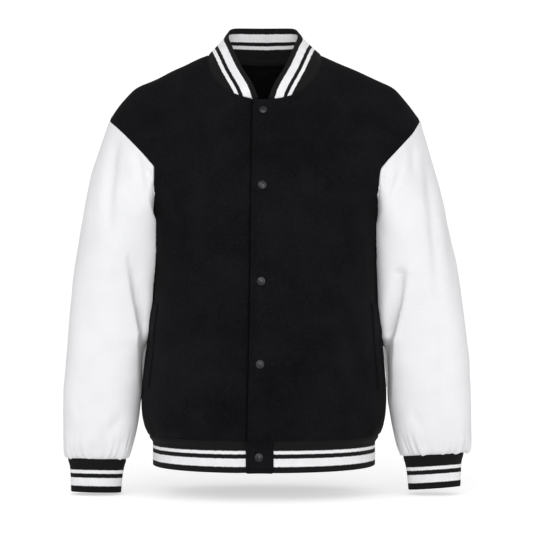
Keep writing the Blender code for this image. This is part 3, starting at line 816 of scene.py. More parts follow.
@dataclass(frozen=True)
class StripedRib:
    """Rib knit with two light stripes, by the distance from the band's fold. stripes holds the four edges."""

    name: str
    stripes: tuple
    dark: tuple = (0.0078, 0.0078, 0.0084, 1.0)
    light: tuple = (0.87, 0.87, 0.885, 1.0)
    course: float = 0.0015

    def make(self, knit_tree: bpy.types.NodeTree, stripe_tree: bpy.types.NodeTree) -> bpy.types.Material:
        """The material: stripes over the knit, with painted shade in the furrows between the wales and random
        worn patches.
        """
        made, g, shader = open_material(self.name)
        cloth = g.add("UVMap", uv_map="cloth").outputs[0]
        inputs = {"Vector": cloth, "Pitch": WALE, "Course": self.course}
        knit = g.add("Group", inputs, node_tree=knit_tree).outputs
        distance = g.add("SeparateXYZ", {0: cloth}).outputs["Y"]
        inputs = {"Distance": distance, "Jog": knit["Jog"]} | dict(zip(STRIPE_EDGES, self.stripes))
        light = g.add("Group", inputs, node_tree=stripe_tree).outputs["Light"]
        worn = g.ramp(g.noise(g.place(), 60.0, 3.0), 0.3, 0.7, 0.06, 0.0)
        # Painted shade in the furrows between the wales, plus a random worn darkening, both mixed towards near
        # black.
        shade = g.weigh((knit["Furrow"], 0.07), plus=worn)
        g.feed(shader, {
            "Base Color": g.mix(shade, g.mix(light, self.dark, self.light), grey(0.002)),
            "Roughness": g.ramp(knit["Height"], 0.2, 0.9, 0.95, 0.80),
            "Normal": g.bump(knit["Height"], 0.7, 0.0004),
            "Specular IOR Level": 0.10,
            "Sheen Weight": 0.04,
            "Sheen Roughness": 0.5,
        })
        return made


@dataclass(frozen=True)
class Gunmetal:
    """Dark plated metal, a little worn and paler where it is turned."""

    name: str = "gunmetal_plate"
    dark: tuple = (0.036, 0.036, 0.038, 1.0)
    worn: tuple = (0.058, 0.058, 0.061, 1.0)

    def make(self) -> bpy.types.Material:
        """The material: dark metal with fine turning marks and a cloudy polish."""
        made, g, shader = open_material(self.name)
        cloud = g.noise(g.place(), 240.0, 4.0)
        g.feed(shader, {
            "Base Color": g.mix(g.ramp(cloud, 0.3, 0.7), self.dark, self.worn),
            "Roughness": g.ramp(cloud, 0.3, 0.75, 0.27, 0.35),
            "Normal": g.bump(g.noise(g.place(), 2400.0, 2.0), 0.25, 0.00005),
            "Metallic": 1.0,
        })
        return made


@dataclass(frozen=True)
class Thread:
    """Twisted sewing thread."""

    name: str
    dark: tuple
    colour: tuple

    def make(self) -> bpy.types.Material:
        """The material: plain dyed thread with a twist along its length."""
        made, g, shader = open_material(self.name)
        twist = g.noise(g.place(), 3200.0, 2.0)
        g.feed(shader, {
            "Base Color": g.mix(g.ramp(twist, 0.35, 0.65), self.dark, self.colour),
            "Roughness": g.ramp(twist, 0.3, 0.7, 0.75, 0.6),
            "Normal": g.bump(twist, 0.5, 0.0001),
            "Specular IOR Level": 0.12,
        })
        return made


class Wardrobe:
    """Every finish of the jacket, made once."""

    def __init__(self) -> None:
        """Makes the node groups, then the materials."""
        nap, knit, stripes = nap_group(), knit_group(), stripe_group()
        dyes = (0.0015, 0.0015, 0.0021, 1), (0.0066, 0.0066, 0.0080, 1)
        self.black = Fleece("black_nap", *dyes, 0.085, 0.025, grey(0.5), 0.0004).make(nap)
        dyes = (0.77, 0.77, 0.785, 1), (0.83, 0.83, 0.845, 1)
        self.white = Fleece("white_nap", *dyes, 0.15, 0.22, grey(1.0), 0.00020, 1100.0, 420.0).make(nap)
        self.collar = StripedRib("rib_collar", (0.0095, 0.0228, 0.0290, 0.0348)).make(knit, stripes)
        self.cuff = StripedRib("rib_cuff", (0.0106, 0.0239, 0.0309, 0.0365)).make(knit, stripes)
        self.hem = StripedRib("rib_hem", (0.0094, 0.0218, 0.0284, 0.0334)).make(knit, stripes)
        self.metal = Gunmetal().make()
        self.thread = Thread("thread_black", (0.0072, 0.0072, 0.0078, 1), (0.012, 0.012, 0.013, 1)).make()


# ---------------------------------------------------------------- body


HEM_SEAM_Z = -0.6165
SQUARENESS = 2.5
ARMHOLE_STEPS = 96

BODY = Sizes(
    "z half_width front back",
    """
    -0.6165 0.1890 0.1310 0.1240
    -0.6015 0.1960 0.1370 0.1300
    -0.5770 0.2000 0.1400 0.1325
    -0.5450 0.2010 0.1405 0.1330
    -0.5110 0.1990 0.1395 0.1310
    -0.4610 0.1935 0.1390 0.1290
    -0.3950 0.1870 0.1395 0.1285
    -0.3400 0.1855 0.1410 0.1295
    -0.3000 0.1860 0.1405 0.1303
    -0.2650 0.1878 0.1393 0.1308
    -0.2400 0.1930 0.1375 0.1308
    -0.2200 0.2030 0.1350 0.1302
    -0.2000 0.2170 0.1315 0.1288
    -0.1500 0.2610 0.1160 0.1220
    -0.1000 0.2950 0.0940 0.1110
    -0.0700 0.3100 0.0825 0.1040
     0.0000 0.3300 0.0710 0.0890
     0.0550 0.3400 0.0600 0.0800
    """,
)
SHOULDER = Sizes(
    "x z",
    """
    0.0000  0.0510
    0.0934  0.0080
    0.1234 -0.0051
    0.1900 -0.0354
    0.2125 -0.0465
    0.2323 -0.0677
    0.2562 -0.1000
    """,
)
ARMHOLE = Sizes(
    "part front_left_x front_left_z front_right_x front_right_z back_x back_z",
    """
    0.000 0.1878 -0.2650 0.1878 -0.2650 0.1878 -0.2650
    0.140 0.1842 -0.2440 0.1814 -0.2440 0.1849 -0.2367
    0.260 0.1838 -0.2120 0.1786 -0.2120 0.1857 -0.2138
    0.371 0.1872 -0.1864 0.1784 -0.1828 0.1890 -0.1938
    0.460 0.1962 -0.1728 0.1870 -0.1699 0.1936 -0.1784
    0.570 0.2083 -0.1587 0.1994 -0.1552 0.2019 -0.1606
    0.700 0.2238 -0.1419 0.2162 -0.1375 0.2174 -0.1419
    0.850 0.2416 -0.1221 0.2356 -0.1184 0.2392 -0.1220
    1.000 0.2562 -0.1000 0.2562 -0.1000 0.2562 -0.1000
    """,
)


@dataclass(frozen=True)
class BodyForm:
    """The jacket's body as one smooth surface, and the lines that its panels are cut along."""

    shoulder_round: float = 0.18
    aside: float = -0.0014
    aside_top: float = -0.44
    aside_over: float = 0.14
    level_z: float = -0.44
    underarm: tuple = (0.1878, -0.2650)
    shoulder_tip: tuple = (0.2562, -0.1000)
    neck_half_width: float = 0.0934
    neck_round: float = 2.2
    neck_low: tuple = ((Facing.FRONT, -0.0700), (Facing.BACK, 0.0))
    closing_at_neck: float = -0.0022
    neck_z: float = -0.07
    closing_lean: float = 0.0125

    def point(self, x: Array, z: Array, facing: Facing) -> Array:
        """Point of the outer surface at x and z.

        Its depth is a superellipse of x over the half-width, times a quarter circle that rounds it over
        towards the shoulder line.

        Args:
            x: distance across.
            z: height.
            facing: the front or the back.

        Returns:
            The points, with the shape of x and z and 3 values each.
        """
        x, z = np.broadcast_arrays(np.asarray(x, float), np.asarray(z, float))
        across = np.abs(x)
        half_width = BODY.at(z, "half_width")
        depth = BODY.at(z, "front" if facing is Facing.FRONT else "back")
        rounding = np.clip(1 - (across / half_width) ** SQUARENESS, 0, 1) ** (1 / SQUARENESS)
        below = SHOULDER.at(across, "z", "x") - z
        arch = np.sqrt(1 - (1 - np.clip(below / self.shoulder_round, 0, 1)) ** 2)
        aside = self.aside * ease((self.aside_top - z) / self.aside_over)
        return np.stack([x + aside, facing.value * depth * rounding * arch, z], -1)

    @staticmethod
    def armhole(part: Array, panel: str) -> Array:
        """(x, z) along a panel's armhole seam, from the underarm (0) to the shoulder tip (1)."""
        return np.stack([ARMHOLE.at(part, f"{panel}_{axis}", "part") for axis in "xz"], -1)

    def neckline(self, x: Array, facing: Facing) -> Array:
        """Height of the neck seam at a distance from the centre: a superellipse that opens upwards."""
        part = np.clip(np.abs(x) / self.neck_half_width, 0, 1)
        low = dict(self.neck_low)[facing]
        high = SHOULDER.at(self.neck_half_width, "z", "x")
        return high - (high - low) * (1 - part**self.neck_round) ** (1 / self.neck_round)

    def closing_x(self, z: Array) -> Array:
        """x of the fronts' closing line, which is straight and leans to the wearer's right going down."""
        return self.closing_at_neck + self.closing_lean * (np.asarray(z, float) - self.neck_z)

    def shares(self, start: float, facing: Facing, count: int) -> Array:
        """count + 1 places from 0 to 1, evenly spaced along the body's section from x = start to the side."""
        half_width = float(BODY.at(self.level_z, "half_width"))
        turn = np.linspace(0, math.pi / 2, 800)
        x = half_width * np.sin(turn) ** (2 / SQUARENESS)
        length = running_length(self.point(x, np.full_like(x, self.level_z), facing)[None], 1)[0]
        even = np.interp(np.linspace(np.interp(start, x, length), length[-1], count + 1), length, x)
        return (even - start) / (half_width - start)

    def top_edge(self, start: float, facing: Facing, neck_steps: int, shoulder_steps: int) -> Array:
        """(x, z) along the neckline from x = start, then down the shoulder line to its tip."""
        first = math.asin(start / self.neck_half_width)
        neck_x = self.neck_half_width * np.sin(np.linspace(first, math.pi / 2, neck_steps + 1))
        shoulder_x = np.linspace(self.neck_half_width, self.shoulder_tip[0], shoulder_steps + 1)[1:]
        neck = np.stack([neck_x, self.neckline(neck_x, facing)], -1)
        shoulder = np.stack([shoulder_x, SHOULDER.at(shoulder_x, "z", "x")], -1)
        return np.concatenate([neck, shoulder])

    def up_to_top(self, low_rows: Array, top: Array, reach: Array, panel: str) -> Array:
        """The rows below the underarm, then rows that rise from the last of them to the top edge.

        A point goes straight from the underarm row to the top edge, and its column's reach says how much of
        the armhole's bow it takes on.
        """
        part = (1 - np.cos(np.linspace(0, math.pi, ARMHOLE_STEPS + 1))) / 2
        base = low_rows[-1]
        straight = base + part[:, None, None] * (top - base)
        miss = self.armhole(part, panel) - straight[:, -1]
        return np.concatenate([low_rows[:-1], straight + miss[:, None, :] * reach[:, None]])


FORM = BodyForm()
BODY_MIDDLE = np.array([0.0, 0.0, -0.35])


def low_heights(count: int = 104) -> Array:
    """Heights of the rows from the hem seam up to the underarm, closer together at the hem."""
    part = np.linspace(0, 1, count)
    return HEM_SEAM_Z + (FORM.underarm[1] - HEM_SEAM_Z) * (0.45 * part + 0.55 * part**1.5)


@dataclass
class BodyPanels:
    """Both fronts and the back, in brushed black fleece."""

    near: tuple = (
        0, 0.15, 0.5, 1, 1.8, 2.8, 3.8, 4.8, 5.8, 7.5, 9.5, 12, 14.5, 17, 19.5, 22, 24.5, 26.7,
        29, 31, 32.6, 33.4, 34, 34.6, 35.6,
    )
    neck_steps: int = 50
    shoulder_steps: int = 50
    back_neck_steps: int = 45
    back_shoulder_steps: int = 54
    lap_half_width: float = 0.0170
    collar_end: float = 0.0097
    corner_drop: float = 0.0018
    undulation_height: float = 0.0007
    gather_depth: float = 0.0006
    gather_reach: float = 0.020
    furrow: float = 0.0009
    lap_step: tuple = (0.001, 0.013)
    lap_calm: tuple = (0.030, 0.012)
    allowance_from: float = 0.012
    press: tuple = (0.0090, 0.0007, 0.00035)
    placket_lines: tuple = ((-0.0011, 0.0050, 0.0012), (0.0011, 0.0020, 0.0018), (-0.0003, 0.0335, 0.0014))
    under_lap: tuple = (-0.0030, 0.0006, 0.0012)
    snap_heights: tuple = (-0.0890, -0.2110, -0.3630, -0.4940)
    undulation: Ripple = Ripple(11, 0.16, 0.045)
    gathers: Ripple = Ripple(23, 0.090, 0.026)
    front_creases: tuple = read_creases("""
        105 -262 124 -302 142 -346 12 2.4 1.1
        22 -388 46 -432 64 -480 13 2.2 1.0
        -126 -418 -139 -452 -151 -486 9 2.2 1.0
        127 -486 156 -540 186 -592 13 2.4 1.1
        96 -520 128 -556 160 -598 13 1.8 0.8
        -197 -96 -166 -116 -130 -133 14 2.6 1.2
        -205 -116 -188 -160 -174 -214 13 3.0 1.2
        204 -116 188 -160 178 -214 13 2.8 1.1
        198 -100 170 -124 136 -138 14 2.2 1.0
        176 -196 150 -218 118 -226 13 2.0 0.9
        -176 -232 -150 -262 -132 -306 13 2.0 0.9
        -84 -530 -112 -564 -150 -592 13 2.0 0.9
        -30 -560 -48 -584 -60 -606 9 1.6 0.7
        42 -566 62 -588 82 -608 9 1.6 0.7
        -6 -586 14 -596 32 -590 6 1.6 0.7
    """)
    back_creases: tuple = read_creases("""
        -190 -120 -160 -190 -120 -250 14 1.6 0.8
        190 -120 158 -186 118 -262 14 1.6 0.8
        -172 -250 -120 -290 -60 -300 15 1.4 0.7
        172 -246 126 -300 70 -322 15 1.3 0.7
        -110 -430 -40 -470 50 -462 16 1.3 0.8
        -20 -520 60 -556 140 -560 15 1.2 0.7
        -160 -520 -110 -566 -50 -590 14 1.1 0.5
        -70 -60 0 -80 70 -60 18 1.3 0.6
    """)

    def front_grid(self, side: Side) -> tuple:
        """Outer points of one front on a smooth surface, and each column's distance from the lap edge.

        Columns run from the lap edge to the side, and rows from the hem up. The right front lies lower where
        the left one laps over it.
        """
        near = np.array(self.near) / 1000
        sign = side.value
        z = low_heights()
        fold = near[-1] - self.lap_half_width
        share = FORM.shares(fold, Facing.FRONT, self.neck_steps + self.shoulder_steps)
        edge = sign * FORM.closing_x(z) - self.lap_half_width
        x_near = edge[:, None] + near
        half = BODY.at(z, "half_width")
        x_far = x_near[:, -1:] + (half[:, None] - x_near[:, -1:]) * share[1:]
        x = np.concatenate([x_near, x_far], 1)
        low_rows = np.stack([x, np.broadcast_to(z[:, None], x.shape)], -1)
        top_x = sign * FORM.closing_at_neck - self.lap_half_width + near
        drop = self.corner_drop * np.clip(1 - near / (self.lap_half_width + self.collar_end), 0, 1)
        top_near = np.stack([top_x, FORM.neckline(top_x, Facing.FRONT) - drop], -1)
        top_far = FORM.top_edge(float(top_x[-1]), Facing.FRONT, self.neck_steps, self.shoulder_steps)[1:]
        top = np.concatenate([top_near, top_far])
        coarse = np.interp(near, [0, self.lap_half_width + self.collar_end, near[-1]], [0, 1, 2])
        far = 2 + 10 * np.arange(1, len(share)) / (len(share) - 1)
        reach = (np.concatenate([coarse, far]) / 12) ** 2
        flat = FORM.up_to_top(low_rows, top, reach, f"front_{side.word}")
        grid = FORM.point(sign * flat[..., 0], flat[..., 1], Facing.FRONT)
        from_edge = flat[..., 0] - (sign * FORM.closing_x(flat[..., 1]) - self.lap_half_width)
        if side is Side.RIGHT:
            found = self.level_normals(grid)
            before, over = self.lap_step
            down = 1 - ease((from_edge - near[-1] + before) / over)
            grid = grid - ((CLOTH + LAP_GAP) * down)[..., None] * found
        return grid, from_edge

    def back_grid(self) -> Array:
        """Outer points of the back, columns from the right side to the left, rows from the hem up."""
        count = self.back_neck_steps + self.back_shoulder_steps
        z = low_heights()
        share = FORM.shares(0.0, Facing.BACK, count)
        x = BODY.at(z, "half_width")[:, None] * share
        low_rows = np.stack([x, np.broadcast_to(z[:, None], x.shape)], -1)
        top = FORM.top_edge(0.0, Facing.BACK, self.back_neck_steps, self.back_shoulder_steps)
        reach = np.linspace(0, 1, count + 1) ** 2
        flat = FORM.up_to_top(low_rows, top, reach, "back")
        half = FORM.point(flat[..., 0], flat[..., 1], Facing.BACK)
        return np.concatenate([(half * [-1, 1, 1])[:, :0:-1], half], 1)

    @staticmethod
    def level_normals(grid: Array) -> Array:
        """Normals of a panel, level with its neighbour's along the side and shoulder seams."""
        found = grid_normals(grid, BODY_MIDDLE)
        found[np.abs(grid[..., 1]) < 1e-6, 1] = 0
        return unit(found)

    def relief(self, grid: Array, creases: tuple, free_edge: bool) -> Array:
        """Folds, slow undulation, small gathers just above the hem seam, and furrows along the sewn edges."""
        down, up, across, back = to_edges(grid)
        height = fold_height(creases, grid) + self.undulation_height * self.undulation.inside(grid)
        above_hem = grid[..., 2] - HEM_SEAM_Z
        pull = gathered(above_hem, self.gather_reach)
        height += self.gather_depth * pull * self.gathers.along(across)
        height += seam_furrow(down, BAND_FURROW)
        height += seam_furrow(up, self.furrow) + seam_furrow(back, self.furrow)
        return height if free_edge else height + seam_furrow(across, self.furrow)

    def pressed(self, grid: Array, from_edge: Array) -> Array:
        """Height near the placket: a topstitched channel, and a shallow ring pressed round each snap."""
        height = lines_across(from_edge, self.placket_lines)
        for z in self.snap_heights:
            height = press_snap(height, grid, z, *self.press)
        return height

    def lay(self, name: str, wardrobe: Wardrobe, grid: Array, height: Array, facing: Facing) -> Panel:
        """Sews a panel with its allowances turned in. A front's first column is free, and rounded off."""
        down, up, across, back = to_edges(grid)
        to_seam = np.minimum(np.minimum(down, up), back)
        if facing is Facing.FRONT:
            inward = turned_in(to_seam) * ease(across / self.allowance_from)
            taper = half_round(across, CLOTH / 2)
        else:
            inward, taper = turned_in(np.minimum(to_seam, across)), 1.0
        inward = inward - INNER_SHARE * height
        normals = self.level_normals(grid)
        return sew(name, wardrobe.black, grid, normals, height, inward, taper=taper, facing=facing)

    def build(self, wardrobe: Wardrobe) -> dict:
        """Builds the three panels.

        Returns:
            Each Panel by its node's name.
        """
        made = {}
        for side in Side:
            grid, from_edge = self.front_grid(side)
            height = self.relief(grid, self.front_creases, True)
            if side is Side.LEFT:
                height += self.pressed(grid, from_edge)
            else:
                calm_to, over = self.lap_calm
                height *= ease((from_edge - calm_to) / over)
                height += lines_across(from_edge - 2 * self.lap_half_width, (self.under_lap,))
            made[f"front_{side.word}"] = self.lay(f"{side.word}_front", wardrobe, grid, height, Facing.FRONT)
        grid = self.back_grid()
        height = self.relief(grid, self.back_creases, False)
        made["back"] = self.lay("back_panel", wardrobe, grid, height, Facing.BACK)
        return made


def press_snap(height: Array, grid: Array, z: float, calm: float, depth: float, rim: float) -> Array:
    """Height with a shallow ring pressed round a snap on the closing line.

    Args:
        height: the relief so far, which is calmed round the snap.
        grid: the points that it belongs to.
        z: height of the snap's centre.
        calm: radius of the calmed cloth.
        depth: depth of the pressed ring.
        rim: height of the faint rim outside it.

    Returns:
        The new relief.
    """
    away = np.hypot(grid[..., 0] - FORM.closing_x(z), grid[..., 2] - z)
    return height * (1 - bell(away, calm)) - depth * bell(away, 0.0085) + rim * bell(away - 0.0125, 0.003)


PANELS = BodyPanels()


# ---------------------------------------------------------------- sleeves and cuffs


SLEEVE = Sizes(
    "outer_left outer_right outer_z inner_left inner_right inner_z half_depth centre_y",
    """
    0.2562 0.2562 -0.1000 0.1878 0.1878 -0.2650 0.0900  0.000
    0.2700 0.2725 -0.1480 0.1810 0.1792 -0.2745 0.0890  0.000
    0.2820 0.2860 -0.1900 0.1725 0.1615 -0.2870 0.0870 -0.001
    0.2945 0.2960 -0.2400 0.1727 0.1603 -0.3080 0.0830 -0.003
    0.3050 0.3043 -0.2900 0.1755 0.1635 -0.3390 0.0780 -0.005
    0.3155 0.3120 -0.3400 0.1770 0.1700 -0.3750 0.0720 -0.007
    0.3225 0.3170 -0.3900 0.1778 0.1738 -0.4120 0.0660 -0.010
    0.3285 0.3212 -0.4400 0.1822 0.1790 -0.4500 0.0630 -0.012
    0.3310 0.3228 -0.4650 0.1885 0.1885 -0.4680 0.0620 -0.013
    0.3345 0.3255 -0.5000 0.1935 0.1955 -0.5000 0.0590 -0.016
    0.3362 0.3288 -0.5450 0.1990 0.2015 -0.5450 0.0540 -0.018
    0.3370 0.3295 -0.5900 0.2065 0.2070 -0.5900 0.0480 -0.020
    0.3365 0.3285 -0.6240 0.2150 0.2150 -0.6250 0.0410 -0.022
    0.3340 0.3262 -0.6465 0.2238 0.2225 -0.6475 0.0330 -0.022
    0.3262 0.3229 -0.6525 0.2262 0.2263 -0.6545 0.0280 -0.022
    """,
)
CUFF = Sizes(
    "drop outer_in inner_in half_depth",
    """
    0.0000 0.0000 0.0000 0.0280
    0.0160 0.0042 0.0047 0.0258
    0.0350 0.0052 0.0075 0.0250
    0.0545 0.0058 0.0090 0.0250
    """,
)
TUCK = Sizes(
    "z edge_left edge_right depth",
    """
    -0.2900 0.2290 0.2230 0.0000
    -0.3300 0.2270 0.2190 0.0008
    -0.3780 0.2225 0.2120 0.0035
    -0.4250 0.2120 0.2030 0.0095
    -0.4450 0.2065 0.2011 0.0130
    -0.4560 0.2050 0.2013 0.0200
    -0.4680 0.2044 0.2020 0.0280
    -0.5150 0.2036 0.2025 0.0260
    -0.5600 0.2030 0.2000 0.0000
    """,
)


@dataclass
class Sleeve:
    """A set-in sleeve in white fleece, with its elbow tuck, folds and cuff gathers."""

    side: Side
    undulation_height: float = 0.0008
    even_for: float = 0.03
    even_share: float = 0.3
    gather_reach: float = 0.030
    gather_peak: float = 0.004
    gather_shift: float = 0.02
    mean_girth: float = 0.5
    armhole_centre: tuple = (0.0, 0.0, -0.15)
    armhole_lean: tuple = (0.2, 1.0, 0.2)
    full_fade: float = 0.03
    cuff_wales: int = 88
    cuff_rows: int = 27
    cuff_furrow: tuple = ((-0.0009, 0.0, 0.0022),)
    rings: int = 172
    last_stop: float = 14.0
    fade: float = 3.5
    set_in: float = 0.0006
    drops: tuple = ((Side.LEFT, (0.0075, 0.0035)), (Side.RIGHT, (-0.0013, -0.0010)))
    lean: float = 0.07
    tuck_width: float = 0.0070
    tuck_drops: tuple = ((Side.LEFT, 0.0100), (Side.RIGHT, 0.0030))
    fullness: float = 0.0090
    fullest_turn: float = 2.55
    full_width: float = 0.42
    full_down_to: float = -0.475
    squareness: tuple = ((0, 3, 6, 8, 12, 14), (2.0, 2.15, 2.5, 2.9, 2.9, 2.0))
    set_in_over: float = 0.006
    side_clearance: float = 0.0015
    side_top_z: float = -0.2100
    overlap: float = 0.0003
    gather_depth: float = 0.0021
    undulation: Ripple = Ripple(5, 0.14, 0.035)
    gathers: Ripple = Ripple(31, 0.110, 0.016, 8)

    def creases(self) -> tuple:
        """Fold lines on the sleeve's front."""
        if self.side is Side.RIGHT:
            return read_creases("""
                -240 -122 -250 -228 -244 -326 9 5.2 1.0 0.5 0.2 0.6
                -214 -138 -200 -190 -190 -256 8 4.0 1.0 0.4
                -217 -312 -208 -376 -194 -446 6.0 6.0 0.6 0.0 0.4 0.10 13
                -216 -318 -218 -330 -217 -342 4 2.0
                -188 -182 -184 -194 -181 -210 4 3.4 0.8
                -304 -548 -300 -572 -290 -606 7 1.8 0.8
                -268 -590 -258 -612 -262 -640 6 1.8 0.8
                -228 -560 -242 -596 -262 -618 8 1.8 0.8
                -284 -330 -290 -400 -284 -480 16 1.4 0.6
            """)
        return read_creases("""
            262 -146 273 -290 284 -440 9 4.4 1.2 0.4 0.25 0.5
            288 -200 302 -300 310 -410 8 2.2
            286 -400 287 -500 284 -604 9 2.6 0.9
            238 -128 241 -165 240 -206 7 3.0 1.0
            221 -172 212 -206 200 -250 6 3.4 1.0
            190 -192 194 -204 194 -222 4 3.8 0.8
            220 -342 212 -398 197 -458 12 6.4 0.0 0.6 0.25 0.10 7.0
            203 -345 217 -351 233 -344 5.5 5.0
            288 -560 280 -600 284 -636 7 1.6 0.7
            236 -556 246 -590 262 -612 8 1.8 0.8
        """)

    def back_creases(self) -> tuple:
        """Fold lines on the sleeve's back."""
        return read_creases("""
            214 -190 226 -260 246 -330 12 2.0 1.0
            206 -380 246 -410 290 -402 11 2.2 1.1
            212 -440 250 -462 296 -452 11 2.0 1.0
            270 -300 284 -360 300 -420 13 1.6 0.8
            240 -540 262 -580 258 -630 10 1.6 0.8
        """, self.side.value)

    def section(self, stop: Array) -> tuple:
        """Outer edge, inner edge, half depth and centre y of the sleeve's section at stops of its table."""
        share = (stop / self.last_stop) ** 2
        edges = []
        for edge, rise in zip(("outer", "inner"), dict(self.drops)[self.side]):
            x = self.side.value * SLEEVE.at_row(stop, f"{edge}_{self.side.word}")
            edges.append(np.stack([x, SLEEVE.at_row(stop, f"{edge}_z") + rise * share], -1))
        return *edges, SLEEVE.at_row(stop, "half_depth"), SLEEVE.at_row(stop, "centre_y")

    @staticmethod
    def rounds(
        outer: Array, inner: Array, half_depth: Array, centre_y: Array, turn: Array, square: Array
    ) -> Array:
        """Superellipses from outer to inner, with square as their power. A quarter turn on is the front."""
        power = 2 / (np.zeros_like(half_depth) + square)[:, None]
        across, deep = (np.sign(wave) * np.abs(wave) ** power for wave in (np.cos(turn), np.sin(turn)))
        centre, reach = (outer + inner) / 2, (outer - inner) / 2
        flat = centre[:, None] + across[..., None] * reach[:, None]
        y = centre_y[:, None] - half_depth[:, None] * deep
        return np.stack([flat[..., 0], y, flat[..., 1]], -1)

    def armhole_loop(self, turn: Array) -> tuple:
        """Points and normals round the armhole, down the front from the tip and up the back."""
        part = (1 + np.cos(turn)) / 2
        at_front = np.sin(turn) >= 0
        sign = self.side.value
        loops = []
        for panel, facing in ((f"front_{self.side.word}", Facing.FRONT), ("back", Facing.BACK)):
            flat = FORM.armhole(part, panel)
            loops.append(FORM.point(sign * flat[..., 0], flat[..., 1], facing))
        points = np.where(at_front[:, None], loops[0], loops[1])
        outward = unit(points - self.armhole_centre) * self.armhole_lean
        return points, unit(outward)

    def tuck(self, x: Array, z: Array) -> Array:
        """How far the cloth inside the elbow's tuck is set back at points seen from the front."""
        edge = TUCK.at(z, f"edge_{self.side.word}")
        inside = (edge - np.abs(x)) / self.tuck_width
        return TUCK.at(z + dict(self.tuck_drops)[self.side], "depth") * ease(inside + 0.5)

    def clear_of_body(self, grid: Array) -> Array:
        """Moves points out to lie against the body's side, where they would be inside it."""
        x, y, z = grid[..., 0], grid[..., 1], grid[..., 2]
        half_width = BODY.at(z, "half_width")
        depth = np.where(y < 0, BODY.at(z, "front"), BODY.at(z, "back"))
        deep = np.clip(np.abs(y) / depth, 0, 1)
        body_x = half_width * (1 - deep**SQUARENESS) ** (1 / SQUARENESS)
        least = np.where(z < self.side_top_z, body_x + self.side_clearance, 0)
        sign = self.side.value
        grid[..., 0] = sign * np.maximum(sign * x, least)
        return grid

    def base(self) -> tuple:
        """The sleeve's smooth surface with its tuck, ring by ring from the armhole down, and ring centres."""
        turn = np.linspace(0, 2 * math.pi, 2 * ARMHOLE_STEPS, endpoint=False)
        stop = self.last_stop * crowded(self.rings, 0.7)
        loop, loop_normals = self.armhole_loop(turn)
        zero = np.zeros(1)
        miss = loop - self.rounds(*self.section(zero), turn, 2.0)[0]
        outer, inner, half_depth, centre_y = self.section(stop)
        square = smooth(stop, *self.squareness)
        grid = self.rounds(outer, inner, half_depth, centre_y, turn, square)
        lean = self.lean * ((stop / self.last_stop) ** 4)[:, None]
        grid[..., 2] -= lean * (grid[..., 1] - centre_y[:, None])
        grid += miss * (1 - ease(stop / self.fade))[:, None, None]
        full = ease((stop - 1.0) / 2.0) * (1 - ease(1 - (outer[:, 1] - self.full_down_to) / self.full_fade))
        grid[..., 1] -= self.fullness * full[:, None] * bell(turn - self.fullest_turn, self.full_width)
        front = ease(2 * np.sin(turn))
        grid[..., 1] += self.tuck(grid[..., 0], grid[..., 2]) * front
        flat = (outer + inner) / 2
        centres = np.stack([flat[:, 0], centre_y, flat[:, 1]], -1)[:, None]
        centres = np.broadcast_to(centres, grid.shape)
        grid = self.clear_of_body(grid)
        away = unit(unit(grid[4] - grid[0]) + loop_normals)
        near = 1 - ease(running_length(grid, 0) / self.set_in_over)
        return grid + self.set_in * near[..., None] * away, centres, turn

    def build(self, body: dict, wardrobe: Wardrobe) -> Panel:
        """Builds the sleeve."""
        grid, centres, turn = self.base()
        down = running_length(grid, 0)
        to_cuff = down[-1:] - down
        armhole = len(low_heights()) - 1
        back_column = -1 if self.side is Side.LEFT else 0
        edges = [
            (panel.outer[armhole:, column], panel.normals[armhole:, column])
            for panel, column in ((body[f"front_{self.side.word}"], -1), (body["back"], back_column))
        ]
        normals = grid_normals(grid, centres, loop=True)
        normals = join_normals(normals, edge_normals(grid[0], edges)[None], down)
        wave = np.sin(turn)
        height = fold_height(self.creases(), grid) * ease(1.6 * wave + 0.3)
        height += fold_height(self.back_creases(), grid) * ease(-1.6 * wave + 0.3)
        uneven = self.undulation_height * self.undulation.inside(grid)
        height += uneven * ease(down / self.even_for) * (self.even_share + (1 - self.even_share) * wave**2)
        around = turn[None, :] * self.mean_girth / (2 * math.pi) + self.gather_shift * self.side.value
        pull = gathered(to_cuff, self.gather_reach, self.gather_peak)
        height += self.gather_depth * pull * self.gathers.along(around)
        height += seam_furrow(down) + seam_furrow(to_cuff, BAND_FURROW)
        inward = turned_in(np.minimum(down, to_cuff)) - INNER_SHARE * height
        return sew(f"{self.side.word}_sleeve", wardrobe.white, grid, normals, height, inward, loop=True)

    def cuff_rings(self) -> tuple:
        """The cuff's smooth surface in rings from its seam down, and each ring's distance below it."""
        outer, inner, _, centre_y = self.section(np.array([self.last_stop]))
        rows, columns = self.cuff_rows, 4 * self.cuff_wales
        total = CUFF.column("drop")[-1]
        fall = (total + self.overlap) * crowded(rows) - self.overlap
        sign = self.side.value
        out = outer + np.stack([-sign * CUFF.at(fall, "outer_in", "drop"), -fall], -1)
        into = inner + np.stack([sign * CUFF.at(fall, "inner_in", "drop"), -fall], -1)
        half_depth = CUFF.at(fall, "half_depth", "drop")
        fine = np.linspace(0, 2 * math.pi, 1441)
        one = slice(rows // 2, rows // 2 + 1)
        middle = self.rounds(out[one], into[one], half_depth[one], centre_y, fine, 2.0)
        length = running_length(middle, 1)[0]
        turn = np.interp(np.linspace(0, length[-1], columns, endpoint=False), length, fine)
        centre_y = np.broadcast_to(centre_y, (rows,))
        grid = self.rounds(out, into, half_depth, centre_y, turn, 2.0)
        grid[..., 2] -= self.lean * (grid[..., 1] - centre_y[:, None])
        return grid, fall[:, None]

